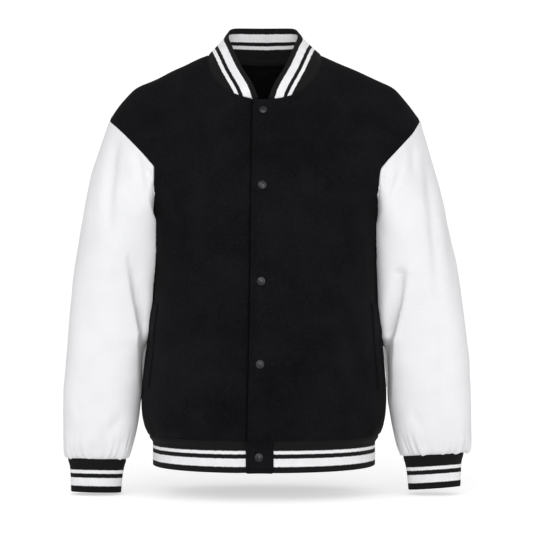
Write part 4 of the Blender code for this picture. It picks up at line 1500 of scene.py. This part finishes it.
    def build_cuff(self, sleeve: Panel, wardrobe: Wardrobe) -> None:
        """Builds the cuff, a folded band of rib that narrows a little below its seam."""
        grid, fall = self.cuff_rings()
        normals = level(grid_normals(grid, grid.mean(1, keepdims=True), loop=True))
        neighbour = edge_normals(grid[0], [(sleeve.outer[-1], sleeve.normals[-1])])
        normals = join_normals(normals, neighbour[None], fall)
        across = WALE * np.arange(4 * self.cuff_wales + 1)[None, :] / 4
        from_fold = fall[-1] - fall
        cloth = np.stack(np.broadcast_arrays(across, from_fold), -1)
        rib = wales(across[:, :-1])
        taper = half_round(from_fold, RIB / 2)
        height = rib * np.minimum(taper, ease(fall / WALE_START)) + lines_across(fall, self.cuff_furrow)
        inward = rib + turned_in(fall)
        sew(f"{self.side.word}_cuff", wardrobe.cuff, grid, normals, height, inward, RIB, taper, cloth, True)


# ---------------------------------------------------------------- collar


FOLD = Sizes(
    "along x y z bulge",
    """
    0.00 0.0097 -0.0800 -0.0670 0.000
    0.10 0.0128 -0.0735 -0.0558 0.001
    0.20 0.0182 -0.0665 -0.0430 0.002
    0.30 0.0268 -0.0548 -0.0280 0.003
    0.40 0.0360 -0.0420 -0.0120 0.004
    0.49 0.0450 -0.0245  0.0080 0.005
    0.57 0.0520 -0.0080  0.0265 0.005
    0.65 0.0575  0.0060  0.0410 0.005
    0.70 0.0568  0.0160  0.0498 0.005
    0.75 0.0538  0.0245  0.0548 0.004
    0.81 0.0475  0.0325  0.0572 0.002
    0.89 0.0355  0.0405  0.0582 0.000
    1.00 0.0000  0.0470  0.0589 0.000
    """,
)


@dataclass
class Collar:
    """The folded rib band round the neck, from its seam to its fold, with shaped front ends."""

    columns: int = 880
    rows: int = 31
    neck_point: float = 0.57
    lap_part: float = 0.10
    overlap: float = 0.0003
    furrow: tuple = ((-0.0011, 0.0, 0.0024),)
    joined_over: float = 0.006
    lap_rise: tuple = (0.008, 0.014)
    fold_lean: float = 0.25
    run_out: tuple = (0.05, 0.0005, 60)
    blunt: float = 0.0002
    allowance_from: float = 0.010
    stripe_drift: tuple = ((0, 0.4, 1), (0.965, 1.03, 1.045))
    inside: tuple = (0.0, 0.0, -0.02)

    def seam(self) -> tuple:
        """Fine points along the neck seam from the right end round the back to the left, and where they lie.

        Returns:
            Points, and their place in the fold's table from 0 to 2.
        """
        lines = []
        for side in (Side.RIGHT, Side.LEFT):
            start = side.value * FORM.closing_at_neck + PANELS.collar_end
            first = math.asin(start / FORM.neck_half_width)
            x = FORM.neck_half_width * np.sin(np.linspace(first, math.pi / 2, 240))
            point = FORM.point(side.value * x, FORM.neckline(x, Facing.FRONT), Facing.FRONT)
            if side is Side.RIGHT:
                flat, over = self.lap_rise
                point[:, 1] += (CLOTH + LAP_GAP) * (1 - ease((x - start - flat) / over))
            lines.append(point)
        turn = np.linspace(-math.pi / 2, math.pi / 2, 420)
        x = FORM.neck_half_width * np.sin(turn)
        back = FORM.point(x, FORM.neckline(x, Facing.BACK), Facing.BACK)
        points = np.concatenate([lines[0][:-1], back, lines[1][-2::-1]])
        length = running_length(points[None], 1)[0]
        right, left = len(lines[0]) - 1, len(lines[0]) + len(back) - 2
        stops = [0, length[right], (length[right] + length[left]) / 2, length[left], length[-1]]
        places = [0, self.neck_point, 1, 2 - self.neck_point, 2]
        return points, np.interp(length, stops, places)

    def fold_at(self, place: Array) -> Array:
        """Points of the folded edge at places from 0 to 2."""
        side = np.where(place < 1, -1, 1)
        part = np.where(place > 1, 2 - place, place)
        fold = np.stack([FOLD.at(part, axis, "along") for axis in "xyz"], -1)
        fold[..., 0] *= side
        fold[..., 0] += FORM.closing_at_neck * (1 + self.fold_lean * ease(part / self.neck_point))
        fold[..., 1] += (CLOTH + LAP_GAP) * np.where(side < 0, 1 - ease((part - self.lap_part) / 0.1), 0)
        return fold

    def base(self) -> tuple:
        """The collar's smooth surface: straight lines from the seam to the fold, bowed out by the bulge."""
        seam, places = self.seam()
        fine = np.linspace(0, 2, 3000)
        length = running_length(self.fold_at(fine)[None], 1)[0]
        even = np.interp(np.linspace(0, length[-1], self.columns), length, fine)
        start = read_line(even, places, seam)
        fold = self.fold_at(even)
        part = crowded(self.rows)[:, None, None]
        grid = start + part * (fold - start)
        normals = grid_normals(grid, np.array(self.inside))
        side_part = np.where(even > 1, 2 - even, even)
        bulge = FOLD.at(side_part, "bulge", "along")[:, None]
        grid = grid + 4 * part * (1 - part) * bulge * normals
        return grid, fold

    def cloth_place(self, points: Array, fold: Array) -> Array:
        """The cloth's coordinates of points: the nearest place along the fold, and the distance from it.

        The fold is drawn on straight beyond its ends, so that the stripes run out through the collar's ends.
        """
        first, last = unit(fold[0] - fold[12]), unit(fold[-1] - fold[-13])
        reach = np.linspace(*self.run_out)[:, None]
        line = np.concatenate([fold[0] + reach * first, fold[::3], fold[-1] + reach[::-1] * last])
        along = running_length(line[None], 1)[0]
        cloth = np.zeros(points.shape[:-1] + (2,))
        for row in range(points.shape[0]):
            apart = np.linalg.norm(points[row][:, None] - line[None], axis=-1)
            nearest = apart.argmin(1)
            a = line[np.clip(nearest - 1, 0, len(line) - 2)]
            run = line[np.clip(nearest + 1, 1, len(line) - 1)] - a
            share = np.sum((points[row] - a) * run, -1) / np.sum(run * run, -1)
            foot = a + share[:, None] * run
            cloth[row, :, 1] = np.linalg.norm(points[row] - foot, axis=-1)
            before = along[np.clip(nearest - 1, 0, len(line) - 2)]
            cloth[row, :, 0] = before + share * np.linalg.norm(run, axis=-1)
        return cloth

    def build(self, body: dict, wardrobe: Wardrobe) -> None:
        """Builds the collar."""
        grid, fold = self.base()
        normals = grid_normals(grid, np.array(self.inside))
        neighbour = edge_normals(grid[0], [(panel.outer[-1], panel.normals[-1]) for panel in body.values()])
        normals = join_normals(normals, neighbour[None], running_length(grid, 0), self.joined_over)
        grid[0] -= self.overlap * unit(grid[2] - grid[0])
        cloth = self.cloth_place(grid, fold)
        from_back = np.abs(np.linspace(-1, 1, self.columns))
        cloth[..., 1] *= smooth(from_back, *self.stripe_drift)
        down, to_fold, across, back = to_edges(grid)
        to_end = np.minimum(across, back)
        taper = half_round(np.minimum(to_fold, to_end + self.blunt), RIB / 2)
        rib = wales(cloth[..., 0]) * taper
        height = rib * ease(down / WALE_START) + lines_across(down, self.furrow)
        inward = rib + turned_in(down) * ease(to_end / self.allowance_from)
        sew("neck_band", wardrobe.collar, grid, normals, height, inward, RIB, taper, cloth)


# ---------------------------------------------------------------- hem


@dataclass
class Hem:
    """The rib band at the hem, from tab to tab, and the two fleece tabs."""

    bottom: float = -0.6645
    drawn_in: float = 0.034
    draw_height: float = 0.012
    tab_shift: float = 0.0021
    tab_half_width: float = 0.0229
    under_half_width: float = 0.0160
    rows: int = 23
    tab_drop: float = 0.0010
    longer_in_front: float = 0.052
    under_tab: float = 0.0015
    overlap: float = 0.0002
    furrow: tuple = ((-0.0010, 0.0, 0.0024),)
    end_furrow: tuple = ((-0.0016, 0.0, 0.0021),)
    tuck_under: float = 0.014
    corner_from: float = 0.86
    soft_edge: float = 0.008
    tab_allowance: float = 0.45
    corner_rise: float = 0.0030
    crown: float = 0.0005
    snap_z: float = -0.6420
    measured_at: float = -0.64
    tab_columns: int = 44
    tab_relief: float = 0.0006
    stitch_furrow: tuple = ((-0.0005, 0.0032, 0.0010),)
    press: tuple = (0.0080, 0.0004, 0.0003)
    inside: tuple = (0.0, 0.0, -0.64)

    def centre(self) -> float:
        """x of the tabs' centre line."""
        return float(FORM.closing_x(HEM_SEAM_Z)) + self.tab_shift

    def section(self, x: Array, z: Array, facing: Array) -> Array:
        """Points of the band: the body's section at the seam, drawn in just below it.

        Args:
            x: distance across at the seam.
            z: height.
            facing: -1 on the front and 1 on the back, for each x.

        Returns:
            The points.
        """
        front = FORM.point(x, np.full_like(x, HEM_SEAM_Z), Facing.FRONT)
        back = FORM.point(x, np.full_like(x, HEM_SEAM_Z), Facing.BACK)
        seam = np.where((facing < 0)[..., None], front, back)
        drawn = 1 - self.drawn_in * ease((HEM_SEAM_Z - z) / self.draw_height)
        middle = np.where(facing < 0, 1 - (x / float(BODY.at(HEM_SEAM_Z, "half_width"))) ** 2, 0)
        z = HEM_SEAM_Z + (z - HEM_SEAM_Z) * (1 + self.longer_in_front * middle)
        return np.stack(np.broadcast_arrays(seam[..., 0] * drawn, seam[..., 1] * drawn, z), -1)

    def heights(self, drop: float = 0.0) -> Array:
        """Heights of the band's rows, closer together at both ends."""
        top = HEM_SEAM_Z + self.overlap
        return top + (self.bottom - drop - top) * crowded(self.rows)

    def band_line(self) -> tuple:
        """x and facing of fine points round the band, from the left tab round the back to the right one."""
        centre = self.centre()
        left_start = centre + self.tab_half_width - self.under_tab
        right_start = self.under_half_width - centre + SEAM_GAP
        half = float(BODY.at(HEM_SEAM_Z, "half_width"))

        def quarter(start: float) -> Array:
            """x from start to the side, finer towards the side."""
            first = math.asin((start / half) ** (SQUARENESS / 2))
            return half * np.sin(np.linspace(first, math.pi / 2, 700)) ** (2 / SQUARENESS)

        left, right, back = quarter(left_start), quarter(right_start), quarter(0.0)
        x = np.concatenate([left, back[-2::-1], -back[1:-1], -right[::-1]])
        facing = np.ones(len(x))
        facing[: len(left)] = -1
        facing[-len(right) :] = -1
        return x, facing

    @staticmethod
    def seam_normals(points: Array, body: dict) -> Array:
        """The body's normals along the hem seam at each point."""
        return edge_normals(points, [(panel.outer[0], panel.normals[0]) for panel in body.values()])

    def build_band(self, body: dict, wardrobe: Wardrobe) -> None:
        """Builds the band as one folded strip of rib."""
        x, facing = self.band_line()
        length = running_length(self.section(x, np.full_like(x, self.measured_at), facing)[None], 1)[0]
        along = np.linspace(0, length[-1], 4 * int(round(length[-1] / WALE)) + 1)
        z = self.heights()
        rings = (self.section(x, np.full_like(x, height), facing) for height in z)
        grid = np.stack([read_line(along, length, ring) for ring in rings])
        near_tab = self.tab_half_width - self.centre() + self.tab_shift
        back_by = 1 - ease((-grid[..., 0] - near_tab) / self.tuck_under)
        grid[..., 1] += (RIB + LAP_GAP) * np.where((grid[..., 0] < 0) & (grid[..., 1] < 0), back_by, 0)
        fall, from_fold = (HEM_SEAM_Z - z)[:, None], (z - self.bottom)[:, None]
        normals = level(grid_normals(grid, np.array(self.inside)))
        normals = join_normals(normals, self.seam_normals(grid[0], body)[None], fall)
        cloth = np.stack(np.broadcast_arrays(along[None, :], from_fold), -1)
        rib = wales(along)[None, :]
        to_end = np.minimum(along, length[-1] - along)[None, :]
        taper = half_round(from_fold, RIB / 2)
        height = rib * np.minimum(taper, ease(fall / WALE_START))
        height = height + lines_across(fall, self.furrow) + lines_across(to_end, self.end_furrow)
        inward = rib * taper + turned_in(fall)
        sew("hem_band", wardrobe.hem, grid, normals, height, inward, RIB, taper, cloth)

    def build_tab(self, side: Side, body: dict, wardrobe: Wardrobe) -> Panel:
        """Builds one tab, with rounded lower corners, a soft crown and edges pulled in by their stitching."""
        left = side is Side.LEFT
        half = self.tab_half_width if left else self.under_half_width
        across = half * (2 * crowded(self.tab_columns, PATCH_CROWDING) - 1)
        z = self.heights(self.tab_drop if left else 0.0)
        corner = np.clip((np.abs(across) / half - self.corner_from) / (1 - self.corner_from), 0, 1)
        rise = self.corner_rise * corner**2 + self.crown * (1 - (across / half) ** 2)
        height_z = z[:, None] + rise * ((HEM_SEAM_Z - z) / (HEM_SEAM_Z - z[-1]))[:, None] ** 3
        x = self.centre() + np.broadcast_to(across, height_z.shape)
        grid = self.section(x, height_z, -np.ones_like(x))
        grid[..., 1] += 0.0 if left else RIB + LAP_GAP
        fall = HEM_SEAM_Z - height_z
        normals = level(grid_normals(grid, np.array(self.inside)), 0.2)
        normals = join_normals(normals, self.seam_normals(grid[0], body)[None], fall)
        to_side = (half - np.abs(across))[None, :] * np.ones_like(height_z)
        to_low = height_z - height_z[-1:]
        taper = half_round(np.minimum(to_side, to_low), RIB / 2)
        height = self.tab_relief * ease(to_side / self.soft_edge) * ease(to_low / self.soft_edge)
        height += lines_across(fall, self.furrow)
        height += lines_across(to_side, self.stitch_furrow) + lines_across(to_low, self.stitch_furrow)
        if left:
            height = press_snap(height, grid, self.snap_z, *self.press)
        inward = turned_in(fall) * (self.tab_allowance if left else 1.0)
        return sew(f"hem_end_{side.word}", wardrobe.black, grid, normals, height, inward, RIB, taper)


# ---------------------------------------------------------------- pockets


@dataclass
class Welt:
    """The long welt over a side pocket's mouth, sewn down along its front edge and ends."""

    side: Side
    top: float = -0.4010
    bottom: float = -0.5375
    first_share: float = 0.7
    last_share: float = 0.8
    thickness: float = 0.0018
    rows: int = 80
    columns: int = 20
    free_lift: float = 0.0016
    free_over: float = 0.010
    ends_over: float = 0.015
    blunt: float = 0.00002
    seam_lines: tuple = ((-0.0004, 0.0, 0.0015), (0.0006, 0.004, 0.002), (-0.0003, 0.0020, 0.0008))
    end_lines: tuple = ((-0.0003, 0.0025, 0.0010),)

    def build(self, front: Panel, wardrobe: Wardrobe) -> Panel:
        """Builds the welt on a front panel's own surface, and returns its outer points and normals."""
        count = PANELS.neck_steps + PANELS.shoulder_steps
        share = self.first_share + (self.last_share - self.first_share) * crowded(self.columns, PATCH_CROWDING)
        heights = low_heights()
        z = self.bottom + (self.top - self.bottom) * crowded(self.rows, PATCH_CROWDING)
        row = np.interp(z, heights, np.arange(len(heights)))
        seat, normals = front.line(*np.meshgrid(row, len(PANELS.near) - 1 + count * share, indexing="ij"))
        up, down, from_seam, to_free = to_edges(seat)
        to_end = np.minimum(up, down)
        to_edge = np.minimum(to_free, np.minimum(to_end, from_seam))
        thin = half_round(to_edge + self.blunt, self.thickness / 2)
        lift = self.free_lift * ease(1 - to_free / self.free_over) * ease(to_end / self.ends_over)
        lift = lift + lines_across(from_seam, self.seam_lines) + lines_across(to_end, self.end_lines)
        lift += SEAM_GAP + self.thickness
        name = f"pocket_welt_{self.side.word}"
        return sew(name, wardrobe.black, seat, normals, lift, -lift, self.thickness, thin)


# ---------------------------------------------------------------- snaps


@dataclass
class Snaps:
    """Five domed snap caps down the closing line, turned and plated."""

    radius: float = 0.0066
    steps: int = 56
    sink: float = 0.0003
    profile: tuple = (
        (0.0, 2.60), (0.9, 2.58), (1.8, 2.50), (2.7, 2.36), (3.5, 2.16), (4.2, 1.90), (4.8, 1.62),
        (5.25, 1.38), (5.55, 1.26), (5.80, 1.24), (6.10, 1.24), (6.35, 1.14), (6.52, 0.92),
        (6.60, 0.62), (6.56, 0.32), (6.36, 0.10), (6.00, 0.0), (0.0, 0.0),
    )

    def seats(self, front: Panel, tab: Panel) -> list:
        """Centre and outward direction of each cap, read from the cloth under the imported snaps.

        Args:
            front: the left front.
            tab: the left hem tab.

        Returns:
            (number, centre, direction) for each snap.
        """
        found = []
        for number in range(1, 6):
            low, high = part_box(f"snap_{number}")
            x, z = (low.x + high.x) / 2, (low.z + high.z) / 2
            panel = tab if number == 5 else front
            away = np.hypot(panel.outer[..., 0] - x, panel.outer[..., 2] - z)
            away = np.where(panel.outer[..., 1] < 0, away, 1)
            row, column = np.unravel_index(away.argmin(), away.shape)
            direction = panel.normals[row, column]
            near = panel.outer[row, column]
            y = near[1] - ((x - near[0]) * direction[0] + (z - near[2]) * direction[2]) / direction[1]
            found.append((number, np.array([x, y, z]), direction))
        return found

    def cap(self, centre: Array, direction: Array) -> Mesh:
        """A cap as its profile turned about the direction, with a band of narrow quads closing each pole."""
        outline = np.array(self.profile) / 1000
        outline[0, 0] = outline[-1, 0] = 1e-5
        turn = np.linspace(0, 2 * math.pi, self.steps, endpoint=False)
        side = unit(np.cross(direction, [0.0, 0.0, 1.0]))
        up = np.cross(side, direction)
        spoke = np.cos(turn)[:, None] * side + np.sin(turn)[:, None] * up
        out, up = outline[:, 0, None, None], outline[:, 1, None, None] - self.sink
        grid = centre + out * spoke + up * direction
        quads = ring_quads(len(outline), self.steps)
        number = np.arange(len(outline) * self.steps).reshape(-1, self.steps)
        for pole, flip in ((number[0], True), (number[-1], False)):
            half = self.steps // 2
            first, second = pole[:half], pole[half:][::-1]
            band = np.stack([first[:-1], first[1:], second[1:], second[:-1]], -1)
            quads = np.concatenate([quads, band[:, ::-1] if flip else band])
        return Mesh(grid.reshape(-1, 3), quads, np.zeros((len(quads), 4, 2))).facing_out()

    def build(self, front: Panel, tab: Panel, wardrobe: Wardrobe) -> None:
        """Builds the five caps."""
        for number, centre, direction in self.seats(front, tab):
            piece = self.cap(centre, direction).build(f"cap_{number}", wardrobe.metal, 40.0)
            declare(piece, f"snap_{number}")


# ---------------------------------------------------------------- stitching


@dataclass
class Stitching:
    """Short arched stitches laid along lines on the cloth."""

    length: float = 0.0027
    pitch: float = 0.0033
    radius: float = 0.00026
    rings: tuple = ((-0.5, 0.45, -0.6), (-0.3, 1.0, 0.35), (0.3, 1.0, 0.35), (0.5, 0.45, -0.6))
    slope_over: float = 0.0012
    sides: int = 6
    from_edge: float = 0.0035
    welt_inset: float = 0.0022
    tab_inset: float = 0.0032
    tab_rise: float = 0.0034

    def template(self) -> tuple:
        """One stitch along x: four rings of points, thin at its ends, and its faces."""
        turn = np.linspace(0, 2 * math.pi, self.sides, endpoint=False)
        along, width, lift = np.array(self.rings).T * [[self.length], [self.radius], [self.radius]]
        y, z = width[:, None] * np.cos(turn), width[:, None] * np.sin(turn) + lift[:, None]
        points = np.stack(np.broadcast_arrays(along[:, None], y, z), -1).reshape(-1, 3)
        ends = np.array([[5, 4, 1, 0], [4, 3, 2, 1], [18, 19, 22, 23], [19, 20, 21, 22]])
        return points, np.concatenate([ring_quads(len(along), self.sides), ends])

    def along(self, path: Array, normals: Array) -> Array:
        """Points of the stitches along a path on the cloth with these normals: stitches by points by 3."""
        length = running_length(path[None], 1)[0]
        count = max(int(length[-1] / self.pitch), 1)
        middle = (np.arange(count) + 0.5) * length[-1] / count
        ahead, behind = (read_line(middle + way * self.slope_over, length, path) for way in (1, -1))
        along = unit(ahead - behind)
        up = read_line(middle, length, normals)
        up = unit(up - np.sum(up * along, -1, keepdims=True) * along)
        frames = np.stack([along, np.cross(up, along), up], 1)
        return read_line(middle, length, path)[:, None] + self.template()[0] @ frames

    def build(self, name: str, lines: list, wardrobe: Wardrobe) -> None:
        """Joins the stitches of several lines into one piece."""
        stitches = np.concatenate([self.along(*line) for line in lines])
        start = stitches.shape[1] * np.arange(len(stitches))[:, None, None]
        quads = (self.template()[1] + start).reshape(-1, 4)
        mesh = Mesh(stitches.reshape(-1, 3), quads, np.zeros((len(quads), 4, 2))).facing_out()
        declare(mesh.build(name, wardrobe.thread))

    def under_top(self, panel: Panel, first: int, last: int) -> tuple:
        """A line across a panel's columns from first to before last, just below its top edge."""
        below = to_edges(panel.outer)[1]
        numbers = np.arange(len(below))
        rows = np.array([np.interp(-self.from_edge, -below[:, c], numbers) for c in range(first, last)])
        return panel.line(rows, np.arange(first, last, dtype=float))

    def dress(self, body: dict, welts: dict, tab: Panel, wardrobe: Wardrobe) -> None:
        """Sews the placket, the neck, the welts and the tab."""
        left, back = body["front_left"], body["back"]
        column = PANELS.near.index(4.8)
        self.build("placket_stitches", [(left.outer[2:-2, column], left.normals[2:-2, column])], wardrobe)
        count = len(PANELS.near)
        last = count + PANELS.neck_steps - 1
        middle, reach = back.outer.shape[1] // 2, PANELS.back_neck_steps
        lines = [self.under_top(left, 3, last), self.under_top(body["front_right"], count, last)]
        lines.append(self.under_top(back, middle - reach, middle + reach + 1))
        self.build("neck_stitches", lines, wardrobe)
        for side, welt in welts.items():
            across = running_length(welt.outer, 1)
            column = int(np.argmin(np.abs(across[40] - self.welt_inset)))
            lines = [(welt.outer[3:-3, column], welt.normals[3:-3, column])]
            lines += [(welt.outer[row, 2:-2], welt.normals[row, 2:-2]) for row in (5, -6)]
            self.build(f"welt_stitches_{side.word}", lines, wardrobe)
        _, up, across, back_across = to_edges(tab.outer)
        first, last = (int(np.argmin(np.abs(line[10] - self.tab_inset))) for line in (across, back_across))
        row = int(np.argmin(np.abs(up[:, 20] - self.tab_rise)))
        lines = [(tab.outer[2:row, c], tab.normals[2:row, c]) for c in (first, last)]
        lines.append((tab.outer[row, first : last + 1], tab.normals[row, first : last + 1]))
        self.build("tab_stitches", lines, wardrobe)


# ---------------------------------------------------------------- studio


@dataclass
class Studio:
    """A plain pale floor, even light all round with most of it from the front, and the camera."""

    floor_z: float = -0.7130
    floor_radii: tuple = (0.02, 0.5, 1.5, 4.0, 12.0)
    floor_steps: int = 64
    camera_place: tuple = (0.0028, -3.0, -0.34)
    view_width: float = 0.87945
    target: tuple = (0.0, 0.0, -0.35)
    lamps: tuple = (
        ("key", (-1.2, -2.5, 1.3), (1.6, 1.4), 13.0),
        ("front", (0.6, -3.4, 0.2), (1.8, 1.6), 29.0),
    )

    def build(self) -> None:
        """Builds the floor, the light and the camera."""
        scene = bpy.context.scene
        scene.view_settings.view_transform = "Standard"
        scene.view_settings.look = "None"
        self.floor()
        self.world()
        for lamp in self.lamps:
            self.light(*lamp)
        camera = bpy.data.objects.new("camera", bpy.data.cameras.new("camera"))
        camera.data.sensor_width = 36.0
        camera.data.lens = 36.0 * -self.camera_place[1] / self.view_width
        camera.location = self.camera_place
        camera.rotation_euler = (math.pi / 2, 0.0, 0.0)
        scene.collection.objects.link(camera)
        scene.camera = camera

    def floor(self) -> None:
        """A wide disc of pale card under the jacket, which glows more to the camera than to the cloth."""
        turn = np.linspace(0, 2 * math.pi, self.floor_steps, endpoint=False)
        radii = np.array(self.floor_radii)[:, None]
        rings = np.broadcast_arrays(radii * np.cos(turn), radii * np.sin(turn), self.floor_z)
        points = np.stack(rings, -1).reshape(-1, 3).tolist()
        faces = ring_quads(len(radii), self.floor_steps)[:, ::-1].tolist()
        mesh = bpy.data.meshes.new("floor")
        mesh.from_pydata(points, [], faces + [list(range(self.floor_steps))])
        made, g, shader = open_material("pale_floor")
        cloud = g.noise(g.place(), 3.0, 3.0)
        rays = g.add("LightPath").outputs["Is Camera Ray"]
        g.feed(shader, {
            "Base Color": g.mix(g.ramp(cloud, 0.3, 0.7), grey(0.79), grey(0.81)),
            "Emission Color": grey(1.0),
            "Emission Strength": g.ramp(rays, 0.0, 1.0, 0.20, 0.525),
            "Roughness": 0.9,
            "Specular IOR Level": 0.1,
        })
        mesh.materials.append(made)
        floor = bpy.data.objects.new("floor", mesh)
        bpy.context.scene.collection.objects.link(floor)
        floor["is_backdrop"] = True

    def world(self) -> None:
        """Pale light from all round, rather more from the front, and plain white to the camera."""
        world = bpy.data.worlds.new("studio")
        world.use_nodes = True
        bpy.context.scene.world = world
        g, nodes = Graph(world.node_tree), world.node_tree.nodes
        way = g.add("SeparateXYZ", {0: g.add("TexCoord").outputs["Generated"]}).outputs["Y"]
        strength = g.math("SUBTRACT", 0.63, g.math("MULTIPLY", way, 0.26))
        plain = g.feed(nodes["Background"], {"Color": grey(1.0), "Strength": strength})
        seen = g.add("Background", {"Color": grey(1.0), "Strength": 1.05})
        rays = g.add("LightPath").outputs["Is Camera Ray"]
        mixed = g.add("MixShader", {0: rays, 1: plain.outputs[0], 2: seen.outputs[0]})
        g.feed(nodes["World Output"], {"Surface": mixed.outputs[0]})

    def light(self, name: str, place: tuple, size: tuple, power: float) -> None:
        """A wide soft area light that faces the jacket."""
        data = bpy.data.lights.new(name, "AREA")
        data.shape = "RECTANGLE"
        data.size, data.size_y = size
        data.energy = power
        lamp = bpy.data.objects.new(name, data)
        way = unit(np.array(self.target) - np.array(place))
        lamp.location = place
        lamp.rotation_euler = (math.acos(-way[2]), 0.0, math.atan2(-way[0], way[1]))
        bpy.context.scene.collection.objects.link(lamp)


# ---------------------------------------------------------------- assembly


def write_sizes() -> None:
    """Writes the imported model's box and the finished jacket's box as plain lists."""
    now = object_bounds()
    for name, (low, high) in (("packed", CAD_BOX), ("finished", now)):
        LOG.info("%s box: %s to %s", name, [round(v, 4) for v in low], [round(v, 4) for v in high])


def main() -> None:
    """Builds the jacket piece by piece, then the studio."""
    logging.basicConfig(level=logging.INFO, format="%(message)s")
    wardrobe = Wardrobe()
    body = PANELS.build(wardrobe)
    welts = {side: Welt(side).build(body[f"front_{side.word}"], wardrobe) for side in Side}
    for side in Side:
        sleeve = Sleeve(side)
        cloth = sleeve.build(body, wardrobe)
        sleeve.build_cuff(cloth, wardrobe)
    Collar().build(body, wardrobe)
    hem = Hem()
    hem.build_band(body, wardrobe)
    hem.build_tab(Side.RIGHT, body, wardrobe)
    tab = hem.build_tab(Side.LEFT, body, wardrobe)
    Snaps().build(body["front_left"], tab, wardrobe)
    Stitching().dress(body, welts, tab, wardrobe)
    Studio().build()
    write_sizes()


if __name__ == "__main__":
    main()
